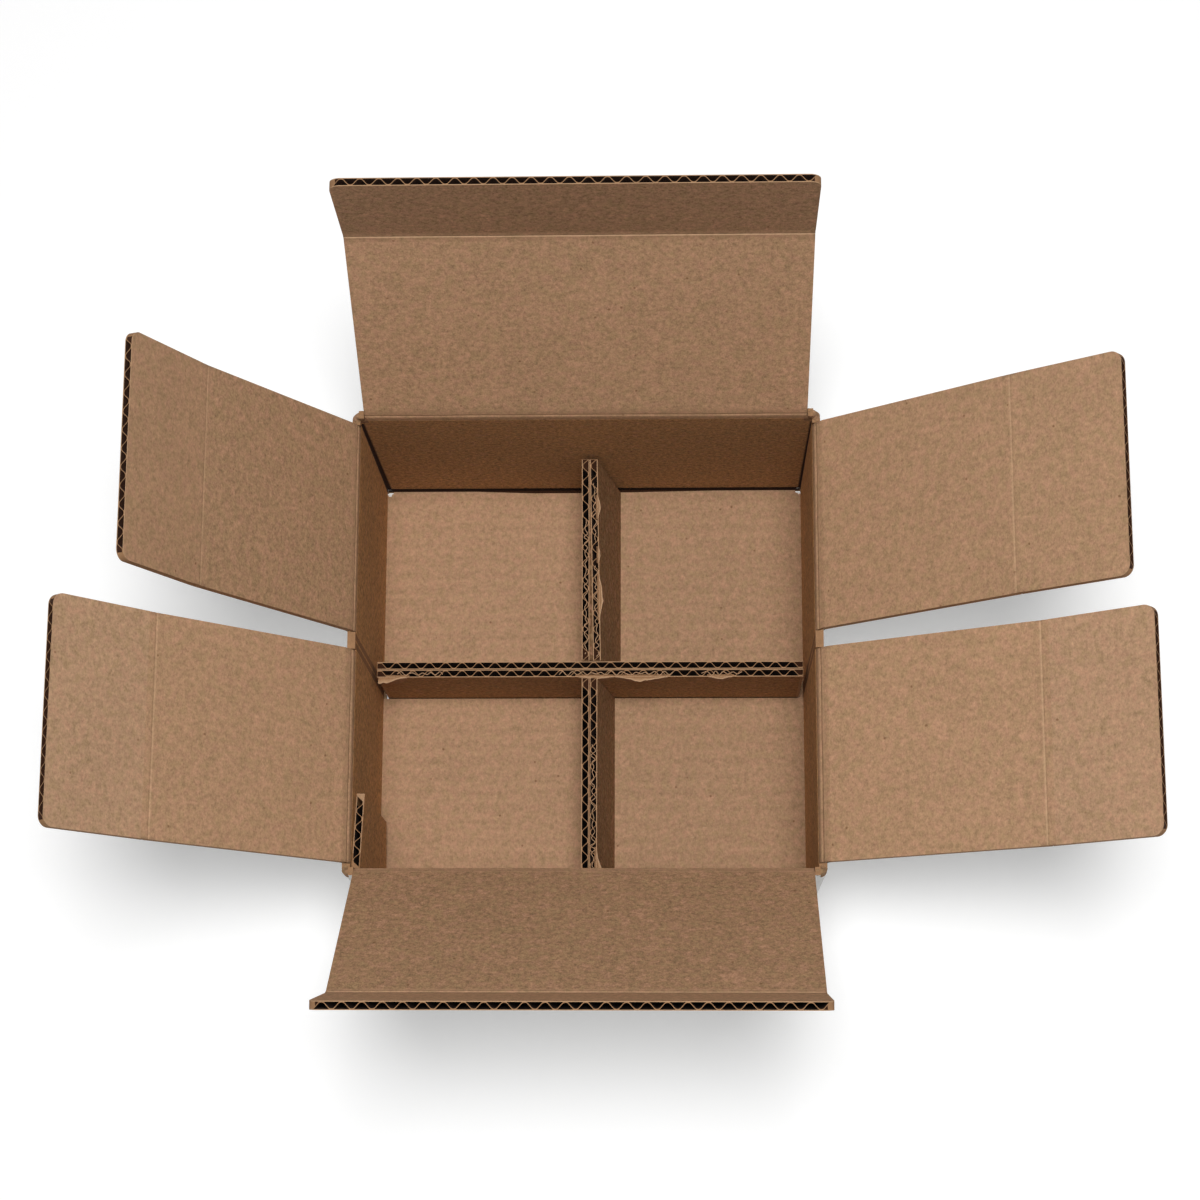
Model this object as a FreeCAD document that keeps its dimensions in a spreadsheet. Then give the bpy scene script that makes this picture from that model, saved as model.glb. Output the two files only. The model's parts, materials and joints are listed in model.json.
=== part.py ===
import FreeCAD, Part
import math
import os
import Sketcher

# Mailer box with four cells, folded from one sheet of single-wall corrugated board.
# Frame: millimetres, origin at the middle of the bottom face, +Z up, the front towards -Y.
# Every flap is drawn flat on its own fold axis and swung up by its Placement. The four walls,
# the glue tab, the bottom flaps and the lips that stand up from them never move, so they are
# one body. The board has two liners and a fluted medium, crushed solid along every fold.

SIZES = [
    ("board", 3.0, "thickness of the corrugated board"),
    ("liner", 0.3, "thickness of each liner"),
    ("medium", 0.25, "thickness of the fluted medium"),
    ("pitch", 6.5, "length of one flute"),
    ("flank", 48, "slope of a flute's flank, degrees"),
    ("edge_seal", 0.8, "least board left closed beside the outermost flute"),
    ("outer_width", 178, "outside size, left to right"),
    ("outer_depth", 177, "outside size, front to back"),
    ("rim", 107, "height of the side flaps' fold axis"),
    ("wall_round", 2.5, "outer radius of the four vertical folds"),
    ("foot_round", 2.5, "outer radius of the folds at the bottom"),
    ("layer_gap", 0.2, "play between two layers of flaps"),
    ("lip_gap", 0.2, "play between two lips back to back"),
    ("web", 0.6, "thickness left in a fold"),
    ("root", 0.85, "distance from a fold axis to the root of the board that turns"),
    ("fold_play", 0.2, "play that a fold's crushed band leaves round the board's thickness"),
    ("crush_play", 0.8, "board left closed between a crushed band and the first open flute"),
    ("flap_inset", 2.0, "play between a flap's end and the wall's inside"),
    ("slot_play", 0.4, "play between a side flap's end and the long divider"),
    ("end_play", 0.3, "play between a turning flap's end and the standing rim"),
    ("lip_clear", 4.8, "room between a closed lip's edge and the divider below it"),
    ("corner_round", 4.0, "radius of the lips' free corners"),
    ("divider_rise", 50, "height of the cross divider's top edges"),
    ("rear_rise", 58, "height of the rear divider's top edge at the back wall"),
    ("rear_lean", 9.0, "lean of the rear right divider lip, degrees"),
    ("front_lean", 7.6, "lean of the front right divider lip, degrees"),
    ("tab_length", 30, "glue tab, length along the left wall"),
    ("tab_fall", 21, "slope of the glue tab's top edge, degrees"),
    ("tab_drop", 4.5, "glue tab's top corner below the side flaps' fold axis"),
    ("tab_foot", 2.0, "glue tab's lower edge above the floor"),
    ("back_rise", 59.3, "back flap above the horizontal, degrees"),
    ("back_bend", 28.2, "back lip bent up from its flap, degrees"),
    ("front_rise", 54.5, "front flap above the horizontal, degrees"),
    ("front_bend", 27.8, "front lip bent up from its flap, degrees"),
    ("rear_left_rise", 59.4, "rear left flap above the horizontal, degrees"),
    ("rear_left_bend", 5.7, "rear left lip bent up from its flap, degrees"),
    ("front_left_rise", 45.9, "front left flap above the horizontal, degrees"),
    ("front_left_bend", 3.9, "front left lip bent up from its flap, degrees"),
    ("rear_right_rise", 41.4, "rear right flap above the horizontal, degrees"),
    ("rear_right_bend", -2.9, "rear right lip bent up from its flap, degrees"),
    ("front_right_rise", 30.9, "front right flap above the horizontal, degrees"),
    ("front_right_bend", 6.8, "front right lip bent up from its flap, degrees"),
]

# What follows from the driving sizes, each a formula in the second sheet.
WORKED = [
    ("half_web", "Sizes.web / 2"),
    ("inside", "Sizes.board - half_web"),
    ("half_gap", "Sizes.lip_gap / 2"),
    ("lip_face", "half_gap + Sizes.board"),
    ("half_slot", "lip_face + Sizes.slot_play"),
    ("taper", "Sizes.board + Sizes.fold_play"),
    ("crush", "taper + Sizes.crush_play"),
    ("half_width", "Sizes.outer_width / 2"),
    ("half_depth", "Sizes.outer_depth / 2"),
    ("side_inner", "half_width - Sizes.board"),
    ("end_inner", "half_depth - Sizes.board"),
    ("side_axis", "half_width - half_web"),
    ("end_axis", "half_depth - half_web"),
    ("end_rim", "Sizes.rim + Sizes.board + Sizes.layer_gap"),
    ("side_top", "Sizes.rim - taper"),
    ("end_top", "end_rim - taper"),
    ("side_panel", "side_axis - half_gap - half_web"),
    ("end_panel", "end_axis - half_gap - half_web"),
    ("top_lip", "Sizes.rim + half_web - Sizes.rear_rise - Sizes.lip_clear"),
    ("end_flap", "2 * (side_inner - Sizes.flap_inset)"),
    ("side_end", "end_inner - Sizes.flap_inset"),
    ("side_flap", "side_end - half_slot"),
    ("side_middle", "half_slot + side_flap / 2"),
    ("upper_layer", "Sizes.board + Sizes.layer_gap"),
    ("floor_top", "upper_layer + Sizes.board"),
    ("core", "Sizes.board / 2 - Sizes.liner"),
    ("web_shift", "Sizes.medium / 2 / sin(Sizes.flank)"),
    ("mouth", "Sizes.pitch / 4 + core / tan(Sizes.flank) - web_shift"),
    ("trough", "core - Sizes.medium"),
    ("apex", "(Sizes.pitch / 4 - web_shift) * tan(Sizes.flank)"),
    ("bend", "(apex - trough) * cos(Sizes.flank) / (1 - cos(Sizes.flank))"),
    ("bend_out", "bend * sin(Sizes.flank)"),
    ("bend_down", "trough - bend + bend * cos(Sizes.flank)"),
    ("edge_room", "2 * (Sizes.edge_seal + mouth) + Sizes.pitch / 2"),
    ("end_steps", "floor((end_flap - edge_room) / Sizes.pitch)"),
    ("side_steps", "floor((side_flap - edge_room) / Sizes.pitch)"),
    ("tab_steps", "floor((Sizes.tab_length - edge_room) / Sizes.pitch)"),
]

doc = FreeCAD.newDocument("mailer_box")


def fill_sheet(name, rows):
    """A spreadsheet with one named value a row, and what it is beside it."""
    sheet = doc.addObject("Spreadsheet::Sheet", name)
    for number, (alias, content, note) in enumerate(rows, 1):
        sheet.set("A%d" % number, alias)
        sheet.set("B%d" % number, content)
        sheet.set("C%d" % number, note)
        sheet.setAlias("B%d" % number, alias)
    doc.recompute()
    return sheet


fill_sheet("Sizes", [(alias, str(number), note) for alias, number, note in SIZES])
worked = fill_sheet("Worked", [(alias, "=" + formula, "") for alias, formula in WORKED])


def value(formula):
    """The number that a formula gives. Bare names are those of the Worked sheet."""
    result = worked.evalExpression(formula)
    return float(getattr(result, "Value", result))


def bound(formula):
    """The same formula as an object outside the sheet must write it."""
    names = sorted((alias for alias, _ in WORKED), key=len, reverse=True)
    out = ""
    word = ""
    for sign in formula + " ":
        if sign.isalnum() or sign in "_.":
            word += sign
            continue
        out += "Worked." + word if word in names else word
        out += sign
        word = ""
    return out.strip()


def origin_of(body, role):
    """One of a body's own origin planes or axes."""
    return next(item for item in body.Origin.OriginFeatures if item.Role == role)


def new_sketch(body, name, role, offset="0"):
    """A sketch on one of the body's origin planes, moved along the plane's normal."""
    sketch = body.newObject("Sketcher::SketchObject", name)
    sketch.AttachmentSupport = [(origin_of(body, role), "")]
    sketch.MapMode = "FlatFace"
    if offset != "0":
        sketch.setExpression("AttachmentOffset.Base.z", bound(offset))
    return sketch


def pin(sketch, edge, point, kind, formula):
    """Ties one coordinate of a point of a sketch to a formula."""
    number = value(formula)
    if formula == "0":
        axis = -2 if kind == "DistanceX" else -1
        sketch.addConstraint(Sketcher.Constraint("PointOnObject", edge, point, axis))
        return
    index = sketch.addConstraint(Sketcher.Constraint(kind, -1, 1, edge, point, number))
    sketch.setExpression("Constraints[%d]" % index, bound(formula))


def arc_between(start, end, centre, turns_left):
    """The arc from start to end about centre, counter-clockwise where turns_left."""
    if not turns_left:
        start, end = end, start
    first = math.atan2(start.y - centre.y, start.x - centre.x)
    last = math.atan2(end.y - centre.y, end.x - centre.x)
    if last < first:
        last += 2 * math.pi
    circle = Part.Circle(centre, FreeCAD.Vector(0, 0, 1), (start - centre).Length)
    return Part.ArcOfCircle(circle, first, last)


def outline(sketch, corners, arcs=None):
    """A closed outline. corners are pairs of formulas. arcs maps the number of a corner to
    (centre's x, centre's y, which of the two is tied, turns left) for the side after it."""
    arcs = arcs or {}
    points = [FreeCAD.Vector(value(a), value(b), 0) for a, b in corners]
    edges = []
    ends = []
    for number, start in enumerate(points):
        end = points[(number + 1) % len(points)]
        if number in arcs:
            across, up, _, left = arcs[number]
            centre = FreeCAD.Vector(value(across), value(up), 0)
            edges.append(sketch.addGeometry(arc_between(start, end, centre, left), False))
            ends.append((1, 2) if left else (2, 1))
        else:
            edges.append(sketch.addGeometry(Part.LineSegment(start, end), False))
            ends.append((1, 2))
    for number, edge in enumerate(edges):
        after = (number + 1) % len(edges)
        join = Sketcher.Constraint("Coincident", edge, ends[number][1], edges[after], ends[after][0])
        sketch.addConstraint(join)
    for number, (across, up) in enumerate(corners):
        pin(sketch, edges[number], ends[number][0], "DistanceX", across)
        pin(sketch, edges[number], ends[number][0], "DistanceY", up)
    for number, (across, up, tied, _) in arcs.items():
        kind = "DistanceX" if tied == "x" else "DistanceY"
        pin(sketch, edges[number], 3, kind, across if tied == "x" else up)


def rectangle(sketch, left, low, right, high):
    """An upright rectangle between two corners."""
    outline(sketch, [(left, low), (right, low), (right, high), (left, high)])


def pad(body, name, sketch, length, both_ways=False, backwards=False):
    """Pushes a sketch out into the body."""
    feature = body.newObject("PartDesign::Pad", name)
    feature.Profile = sketch
    feature.Midplane = both_ways
    feature.Reversed = backwards
    feature.setExpression("Length", bound(length))
    doc.recompute()
    return feature


def cut(body, name, sketch, length, both_ways=False, backwards=False, along=None):
    """Cuts a sketch out of the body, and makes sure that it met material."""
    before = body.Shape.Volume
    feature = body.newObject("PartDesign::Pocket", name)
    feature.Profile = sketch
    feature.Midplane = both_ways
    feature.Reversed = backwards
    if along:
        feature.UseCustomVector = True
        feature.AlongSketchNormal = False
        feature.Direction = along
    feature.setExpression("Length", bound(length))
    doc.recompute()
    assert body.Shape.Volume < before - 1, name + " cuts nothing"
    return feature


def channel(sketch, swap, at, middle, side):
    """One flute channel between a liner and the medium: the liner is its straight side, and
    the medium's two flanks meet in an arc. side is + or -, the liner that it lies against."""
    other = "-" if side == "+" else "+"
    liner = "%s %s core" % (middle, side)
    knee = "%s %s bend_down" % (middle, other)
    centre = "%s %s (trough - bend)" % (middle, other)
    corners = [
        ("%s - mouth" % at, liner),
        ("%s - bend_out" % at, knee),
        ("%s + bend_out" % at, knee),
        ("%s + mouth" % at, liner),
    ]
    left = side == "+"
    if swap:
        corners = [(up, across) for across, up in corners]
        outline(sketch, corners, {1: (centre, at, "x", not left)})
    else:
        outline(sketch, corners, {1: (at, centre, "y", left)})


# The plane across each run of flutes, the axes of its sketches, and the way its normal points.
ACROSS = {"z": ("XY_Plane", "xy", 1), "y": ("XZ_Plane", "xz", -1), "x": ("YZ_Plane", "yz", 1)}


def flute(body, name, run, across, start, length, middle, centre, steps, along=None):
    """The first pair of channels of a panel. They run along one axis from start, and lie
    between the liners of a board whose middle is at middle. centre is where the row that
    repeats them along across has its middle."""
    role, axes, normal = ACROSS[run]
    offset = start if normal > 0 else "-(%s)" % start
    sketch = new_sketch(body, name + "_section", role, offset)
    swap = axes[0] != across
    first = "%s - %s * Sizes.pitch / 2 - Sizes.pitch / 4" % (centre, steps)
    channel(sketch, swap, first, middle, "+")
    channel(sketch, swap, first + " + Sizes.pitch / 2", middle, "-")
    doc.recompute()
    return cut(body, name, sketch, length, backwards=normal > 0 and not along, along=along)


def repeat(body, name, channels, across, steps):
    """Repeats channels of one body along an axis, a flute's length apart."""
    row = body.newObject("PartDesign::LinearPattern", name)
    row.Originals = channels
    row.Refine = False
    row.Direction = (origin_of(body, across.upper() + "_Axis"), [""])
    row.setExpression("Occurrences", bound(steps) + " + 1")
    row.setExpression("Length", "Sizes.pitch * " + bound(steps))
    body.Tip = row
    doc.recompute()


def new_body(label):
    """A body whose Label names its file."""
    body = doc.addObject("PartDesign::Body", label)
    body.Label = label
    return body


# ---- the flaps and lips that turn -------------------------------------------------------


def place(body, across, out, up, heading, rise):
    """Sets a body on its fold axis: turned to its side of the box, then swung up."""
    spot = "vector(%s; %s; %s)" % (bound(across), bound(out), bound(up))
    turn = "rotation(%s; 0; %s)" % (heading, bound(rise))
    body.setExpression("Placement", "placement(%s; %s)" % (spot, turn))
    doc.recompute()


def draw_panel(label, length, width, steps):
    """A flap from its fold to its crease, drawn flat: X along the fold axis, Y outwards, and
    the inside of the sheet up. The outer liner runs half the web's thickness under the axis
    at both ends, and the inside is crushed down to the web."""
    body = new_body(label)
    side = new_sketch(body, label + "_side", "YZ_Plane")
    corners = [
        ("Sizes.root", "-half_web"),
        (length, "-half_web"),
        (length, "half_web"),
        (length + " - taper", "inside"),
        ("taper", "inside"),
        ("Sizes.root", "half_web"),
    ]
    outline(side, corners, {1: (length, "0", "x", True)})
    pad(body, label + "_board", side, width, both_ways=True)
    run = length + " - 2 * crush"
    middle = "Sizes.board / 2 - half_web"
    single = flute(body, label + "_channels", "y", "x", "crush", run, middle, "0", steps)
    repeat(body, label + "_flutes", [single], "x", steps)
    return body


def draw_lip(label, width, steps):
    """A lip past a flap's crease, drawn as the flaps are. Its flutes are open at its free
    edge, and its two free corners are rounded."""
    body = new_body(label)
    side = new_sketch(body, label + "_side", "YZ_Plane")
    corners = [
        ("Sizes.root", "-half_web"),
        ("top_lip", "-half_web"),
        ("top_lip", "inside"),
        ("taper", "inside"),
        ("Sizes.root", "half_web"),
    ]
    outline(side, corners)
    board = pad(body, label + "_board", side, width, both_ways=True)
    rounds = body.newObject("PartDesign::Fillet", label + "_corners")
    rounds.Base = (board, free_corners(board.Shape, value("top_lip"), value(width) / 2))
    rounds.setExpression("Radius", "Sizes.corner_round")
    doc.recompute()
    run = "top_lip - crush + Sizes.liner"
    middle = "Sizes.board / 2 - half_web"
    single = flute(body, label + "_channels", "y", "x", "crush", run, middle, "0", steps)
    repeat(body, label + "_flutes", [single], "x", steps)
    return body


def free_corners(shape, out, across):
    """The names of the two upright edges at the free corners of a lip."""
    names = []
    for number, edge in enumerate(shape.Edges, 1):
        box = edge.BoundBox
        upright = box.ZLength > 1 and box.XLength < 0.01 and box.YLength < 0.01
        if upright and abs(abs(box.Center.x) - across) < 0.01 and abs(box.Center.y - out) < 0.01:
            names.append("Edge%d" % number)
    assert len(names) == 2
    return names


def end_flap(side, heading, sign):
    """The front or the back flap with its lip. They close as the outer layer."""
    rise = "Sizes.%s_rise" % side
    bend = "%s + Sizes.%s_bend" % (rise, side)
    panel = draw_panel(side + "_flap", "end_panel", "end_flap", "end_steps")
    place(panel, "0", sign + "end_axis", "end_rim", heading, rise)
    lip = draw_lip(side + "_lip", "end_flap", "end_steps")
    out = "%s(end_axis + end_panel * cos(%s))" % (sign, rise)
    place(lip, "0", out, "end_rim + end_panel * sin(%s)" % rise, heading, bend)
    return [panel, lip]


def side_flap(side, heading, across, along):
    """One of the two flaps on a side, with its lip. They close as the inner layer."""
    rise = "Sizes.%s_rise" % side
    bend = "%s + Sizes.%s_bend" % (rise, side)
    panel = draw_panel(side + "_flap", "side_panel", "side_flap", "side_steps")
    place(panel, across + "side_axis", along + "side_middle", "Sizes.rim", heading, rise)
    lip = draw_lip(side + "_lip", "side_flap", "side_steps")
    out = "%s(side_axis + side_panel * cos(%s))" % (across, rise)
    up = "Sizes.rim + side_panel * sin(%s)" % rise
    place(lip, out, along + "side_middle", up, heading, bend)
    return [panel, lip]


# ---- the standing part of the sheet -------------------------------------------------------


def draw_walls(shell):
    """The four walls up to the lower crushed band, with rounded vertical folds, and the front
    and back walls one layer higher."""
    ring = new_sketch(shell, "wall_ring", "XY_Plane", "floor_top")
    rectangle(ring, "-half_width", "-half_depth", "half_width", "half_depth")
    rectangle(ring, "-side_inner", "-end_inner", "side_inner", "end_inner")
    doc.recompute()
    walls = pad(shell, "walls", ring, "side_top - floor_top")
    names = []
    for number, edge in enumerate(walls.Shape.Edges, 1):
        box = edge.BoundBox
        if box.ZLength > 1 and abs(abs(box.Center.x) - value("half_width")) < 0.01:
            names.append("Edge%d" % number)
    folds = shell.newObject("PartDesign::Fillet", "wall_folds")
    folds.Base = (walls, names)
    folds.setExpression("Radius", "Sizes.wall_round")
    doc.recompute()
    ends = new_sketch(shell, "end_wall_tops", "XY_Plane", "side_top")
    reach = "(half_width - Sizes.wall_round)"
    rectangle(ends, "-" + reach, "end_inner", reach, "half_depth")
    rectangle(ends, "-" + reach, "-half_depth", reach, "-end_inner")
    doc.recompute()
    pad(shell, "end_walls", ends, "end_top - side_top")


def rim_corners(sign, wall, inner, axis, top, high):
    """The crushed band along a rim: the outer liner straight up to the fold axis, a half
    round about the axis, and the inside sloping down to full thickness."""
    corners = [
        ("%s%s" % (sign, wall), top),
        ("%s%s" % (sign, inner), top),
        ("%s(%s - half_web)" % (sign, axis), high),
        ("%s(%s + half_web)" % (sign, axis), high),
    ]
    arc = ("%s%s" % (sign, axis), high, "y", sign == "")
    return corners, {2: arc}


def draw_rims(shell):
    """The crushed bands that carry the top flaps, and the bits of full board beside them: at
    the corners, and between the two flaps on a side."""
    side = new_sketch(shell, "side_rim_section", "XZ_Plane")
    end = new_sketch(shell, "end_rim_section", "YZ_Plane")
    for sign in ("", "-"):
        outline(side, *rim_corners(sign, "half_width", "side_inner", "side_axis", "side_top", "Sizes.rim"))
        outline(end, *rim_corners(sign, "half_depth", "end_inner", "end_axis", "end_top", "end_rim"))
    doc.recompute()
    pad(shell, "side_rims", side, "2 * (side_end + Sizes.end_play)", both_ways=True)
    pad(shell, "end_rims", end, "end_flap + 2 * Sizes.end_play", both_ways=True)
    bits = new_sketch(shell, "side_rim_bits", "XY_Plane", "side_top")
    for left, right in (("-half_width", "-side_inner"), ("side_inner", "half_width")):
        start = "(side_end + Sizes.end_play)"
        stop = "(end_inner + Sizes.liner)"
        between = "(half_slot - Sizes.end_play)"
        rectangle(bits, left, "-" + stop, right, "-" + start)
        rectangle(bits, left, "-" + between, right, between)
        rectangle(bits, left, start, right, stop)
    doc.recompute()
    pad(shell, "side_bits", bits, "taper")
    bits = new_sketch(shell, "end_rim_bits", "XY_Plane", "end_top")
    for low, high in (("-half_depth", "-end_inner"), ("end_inner", "half_depth")):
        start = "(end_flap / 2 + Sizes.end_play)"
        stop = "(side_inner + Sizes.liner)"
        rectangle(bits, "-" + stop, low, "-" + start, high)
        rectangle(bits, start, low, stop, high)
    doc.recompute()
    pad(shell, "end_bits", bits, "taper")


def foot_corners(sign, wall, inner, low):
    """A wall's foot: straight inside, and rounded where the sheet folds under the box."""
    round_in = "%s(%s - Sizes.foot_round)" % (sign, wall)
    corners = [
        ("%s%s" % (sign, inner), "floor_top"),
        ("%s%s" % (sign, inner), low),
        (round_in, low),
        ("%s%s" % (sign, wall), "%s + Sizes.foot_round" % low),
        ("%s%s" % (sign, wall), "floor_top"),
    ]
    arc = (round_in, "%s + Sizes.foot_round" % low, "x", sign == "")
    return corners, {2: arc}


def draw_feet(shell):
    """The folds along the bottom. The side walls stop one layer higher than the others."""
    end = new_sketch(shell, "end_foot_section", "YZ_Plane")
    side = new_sketch(shell, "side_foot_section", "XZ_Plane")
    for sign in ("", "-"):
        outline(end, *foot_corners(sign, "half_depth", "end_inner", "0"))
        outline(side, *foot_corners(sign, "half_width", "side_inner", "upper_layer"))
    doc.recompute()
    pad(shell, "end_feet", end, "2 * (half_width - Sizes.wall_round)", both_ways=True)
    pad(shell, "side_feet", side, "2 * (half_depth - Sizes.wall_round)", both_ways=True)


def bottom_corners(sign, root, low, rise):
    """A bottom flap with its lip standing up at the middle of the box: the flap lies at low,
    and its fold is rounded on the outside."""
    face = "%shalf_gap" % sign
    turn = "%s(half_gap + Sizes.foot_round)" % sign
    corners = [
        ("%s(%s + Sizes.liner)" % (sign, root), low),
        (turn, low),
        (face, "%s + Sizes.foot_round" % low),
        (face, rise),
        ("%slip_face" % sign, rise),
        ("%slip_face" % sign, "%s + Sizes.board" % low),
        ("%s(%s + Sizes.liner)" % (sign, root), "%s + Sizes.board" % low),
    ]
    arc = (turn, "%s + Sizes.foot_round" % low, "x", sign == "-")
    return corners, {1: arc}


def leaning_corners(rise, lean):
    """A right bottom flap: its lip's foot stands off the middle and its top leans back to it."""
    foot = "half_gap + (%s - upper_layer) * tan(%s)" % (rise, lean)
    top = "half_gap + Sizes.board * cos(%s)" % lean
    peak = "%s + Sizes.board * sin(%s)" % (rise, lean)
    inner_foot = "%s + (%s - floor_top) * tan(%s)" % (top, peak, lean)
    return [
        ("side_inner + Sizes.liner", "upper_layer"),
        (foot, "upper_layer"),
        ("half_gap", rise),
        (top, peak),
        (inner_foot, "floor_top"),
        ("side_inner + Sizes.liner", "floor_top"),
    ]


def draw_bottom(shell):
    """The outer bottom flaps, whose lips make the long divider from left to right, and over
    them the inner ones, whose lips make the divider's two halves from front to back."""
    outer = new_sketch(shell, "outer_bottom_section", "YZ_Plane")
    for sign in ("", "-"):
        outline(outer, *bottom_corners(sign, "end_inner", "0", "Sizes.divider_rise"))
    doc.recompute()
    pad(shell, "outer_bottom", outer, "end_flap", both_ways=True)
    rear = new_sketch(shell, "rear_bottom_section", "XZ_Plane", "-half_slot")
    outline(rear, *bottom_corners("-", "side_inner", "upper_layer", "Sizes.rear_rise"))
    outline(rear, leaning_corners("Sizes.rear_rise", "Sizes.rear_lean"))
    doc.recompute()
    pad(shell, "rear_bottom", rear, "side_flap", backwards=True)
    front = new_sketch(shell, "front_bottom_section", "XZ_Plane", "half_slot")
    outline(front, *bottom_corners("-", "side_inner", "upper_layer", "Sizes.divider_rise"))
    outline(front, leaning_corners("Sizes.divider_rise", "Sizes.front_lean"))
    doc.recompute()
    pad(shell, "front_bottom", front, "side_flap")


def slope_rear_divider(shell):
    """The rear divider's top edge rises from the crossing to the back wall."""
    wedge = new_sketch(shell, "rear_divider_slope", "YZ_Plane")
    high = "Sizes.rear_rise + Sizes.board"
    corners = [
        ("half_slot - Sizes.layer_gap", "Sizes.divider_rise"),
        ("side_end", "Sizes.rear_rise"),
        ("side_end", high),
        ("half_slot - Sizes.layer_gap", high),
    ]
    outline(wedge, corners)
    doc.recompute()
    cut(shell, "rear_divider_top", wedge, "4 * lip_face", both_ways=True)


def draw_tab(shell):
    """The glue tab: the end of the sheet, glued inside the left wall at the front corner."""
    tab = new_sketch(shell, "tab_outline", "YZ_Plane", "-side_inner")
    start = "-end_inner"
    stop = "-end_inner + Sizes.tab_length"
    top = "Sizes.rim - Sizes.tab_drop"
    corners = [
        (start, "floor_top + Sizes.tab_foot"),
        (stop, "floor_top + Sizes.tab_foot + Sizes.tab_length * tan(Sizes.tab_fall) / 2"),
        (stop, "%s - Sizes.tab_length * tan(Sizes.tab_fall)" % top),
        (start, top),
    ]
    outline(tab, corners)
    doc.recompute()
    pad(shell, "glue_tab", tab, "Sizes.board")


def flute_long_divider(shell):
    """Flutes in the lips of the outer bottom flaps, open along the long divider's top edge."""
    base = "Sizes.board + crush"
    rise = "Sizes.divider_rise - Sizes.board"
    lips = []
    for side, sign in (("back", ""), ("front", "-")):
        middle = "%s(half_gap + Sizes.board / 2)" % sign
        name = side + "_bottom_lip_channels"
        lips.append(flute(shell, name, "z", "x", base, rise, middle, "0", "end_steps"))
    return lips


def flute_half_divider(shell, side, centre):
    """Flutes in the two lips of one half of the divider from front to back. The left lip is
    upright, and the right one's flutes follow its lean."""
    lean = "Sizes.%s_lean" % side
    tallest = "Sizes.rear_rise" if side == "rear" else "Sizes.divider_rise"
    base = "floor_top + crush"
    rise = "%s - upper_layer" % tallest
    middle = "-(half_gap + Sizes.board / 2)"
    name = side + "_left_lip_channels"
    left = flute(shell, name, "z", "y", base, rise, middle, centre, "side_steps")
    angle = math.radians(value(lean))
    along = FreeCAD.Vector(-math.sin(angle), 0, math.cos(angle))
    shift = "(%s - floor_top - crush) * tan(%s)" % (tallest, lean)
    middle = "(half_gap + Sizes.board / 2 / cos(%s) + %s)" % (lean, shift)
    name = side + "_right_lip_channels"
    right = flute(shell, name, "z", "y", base, rise, middle, centre, "side_steps", along)
    return [left, right]


def flute_tab(shell):
    """Upright flutes in the glue tab, open at its sloping edges."""
    base = "floor_top + Sizes.tab_foot"
    run = "Sizes.rim - floor_top"
    middle = "-(side_inner - Sizes.board / 2)"
    centre = "(-end_inner + Sizes.tab_length / 2)"
    return flute(shell, "tab_channels", "z", "y", base, run, middle, centre, "tab_steps")


def flute_shell(shell):
    """The flutes that a cut edge opens: the tab's and the divider lips'. The walls and the
    bottom flaps are shut by a fold at both ends, and are drawn as whole board."""
    tab = flute_tab(shell)
    ends = flute_long_divider(shell)
    halves = flute_half_divider(shell, "rear", "side_middle")
    halves += flute_half_divider(shell, "front", "-side_middle")
    repeat(shell, "tab_flutes", [tab], "y", "tab_steps")
    repeat(shell, "half_divider_flutes", halves, "y", "side_steps")
    repeat(shell, "long_divider_flutes", ends, "x", "end_steps")


def box_shell():
    """All of the sheet that stands still: walls, glue tab, bottom flaps and the divider."""
    shell = new_body("box_shell")
    draw_walls(shell)
    draw_rims(shell)
    draw_feet(shell)
    draw_bottom(shell)
    slope_rear_divider(shell)
    draw_tab(shell)
    flute_shell(shell)
    return [shell]


def export(bodies):
    """Writes each body to parts/ once every object is sound."""
    doc.recompute()
    for item in doc.Objects:
        assert "Invalid" not in item.State and "Error" not in item.State, item.Name
    os.makedirs("parts", exist_ok=True)
    for body in bodies:
        shape = body.Shape
        assert not shape.isNull() and shape.isValid() and len(shape.Solids) == 1, body.Label
        shape.exportStep("parts/%s.step" % body.Label)
        print(body.Label, round(shape.Volume), "mm3", len(shape.Faces), "faces")


bodies = box_shell()
bodies += end_flap("back", 0, "")
bodies += end_flap("front", 180, "-")
bodies += side_flap("rear_left", 90, "-", "")
bodies += side_flap("front_left", 90, "-", "-")
bodies += side_flap("rear_right", -90, "", "")
bodies += side_flap("front_right", -90, "", "-")
export(bodies)
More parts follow.
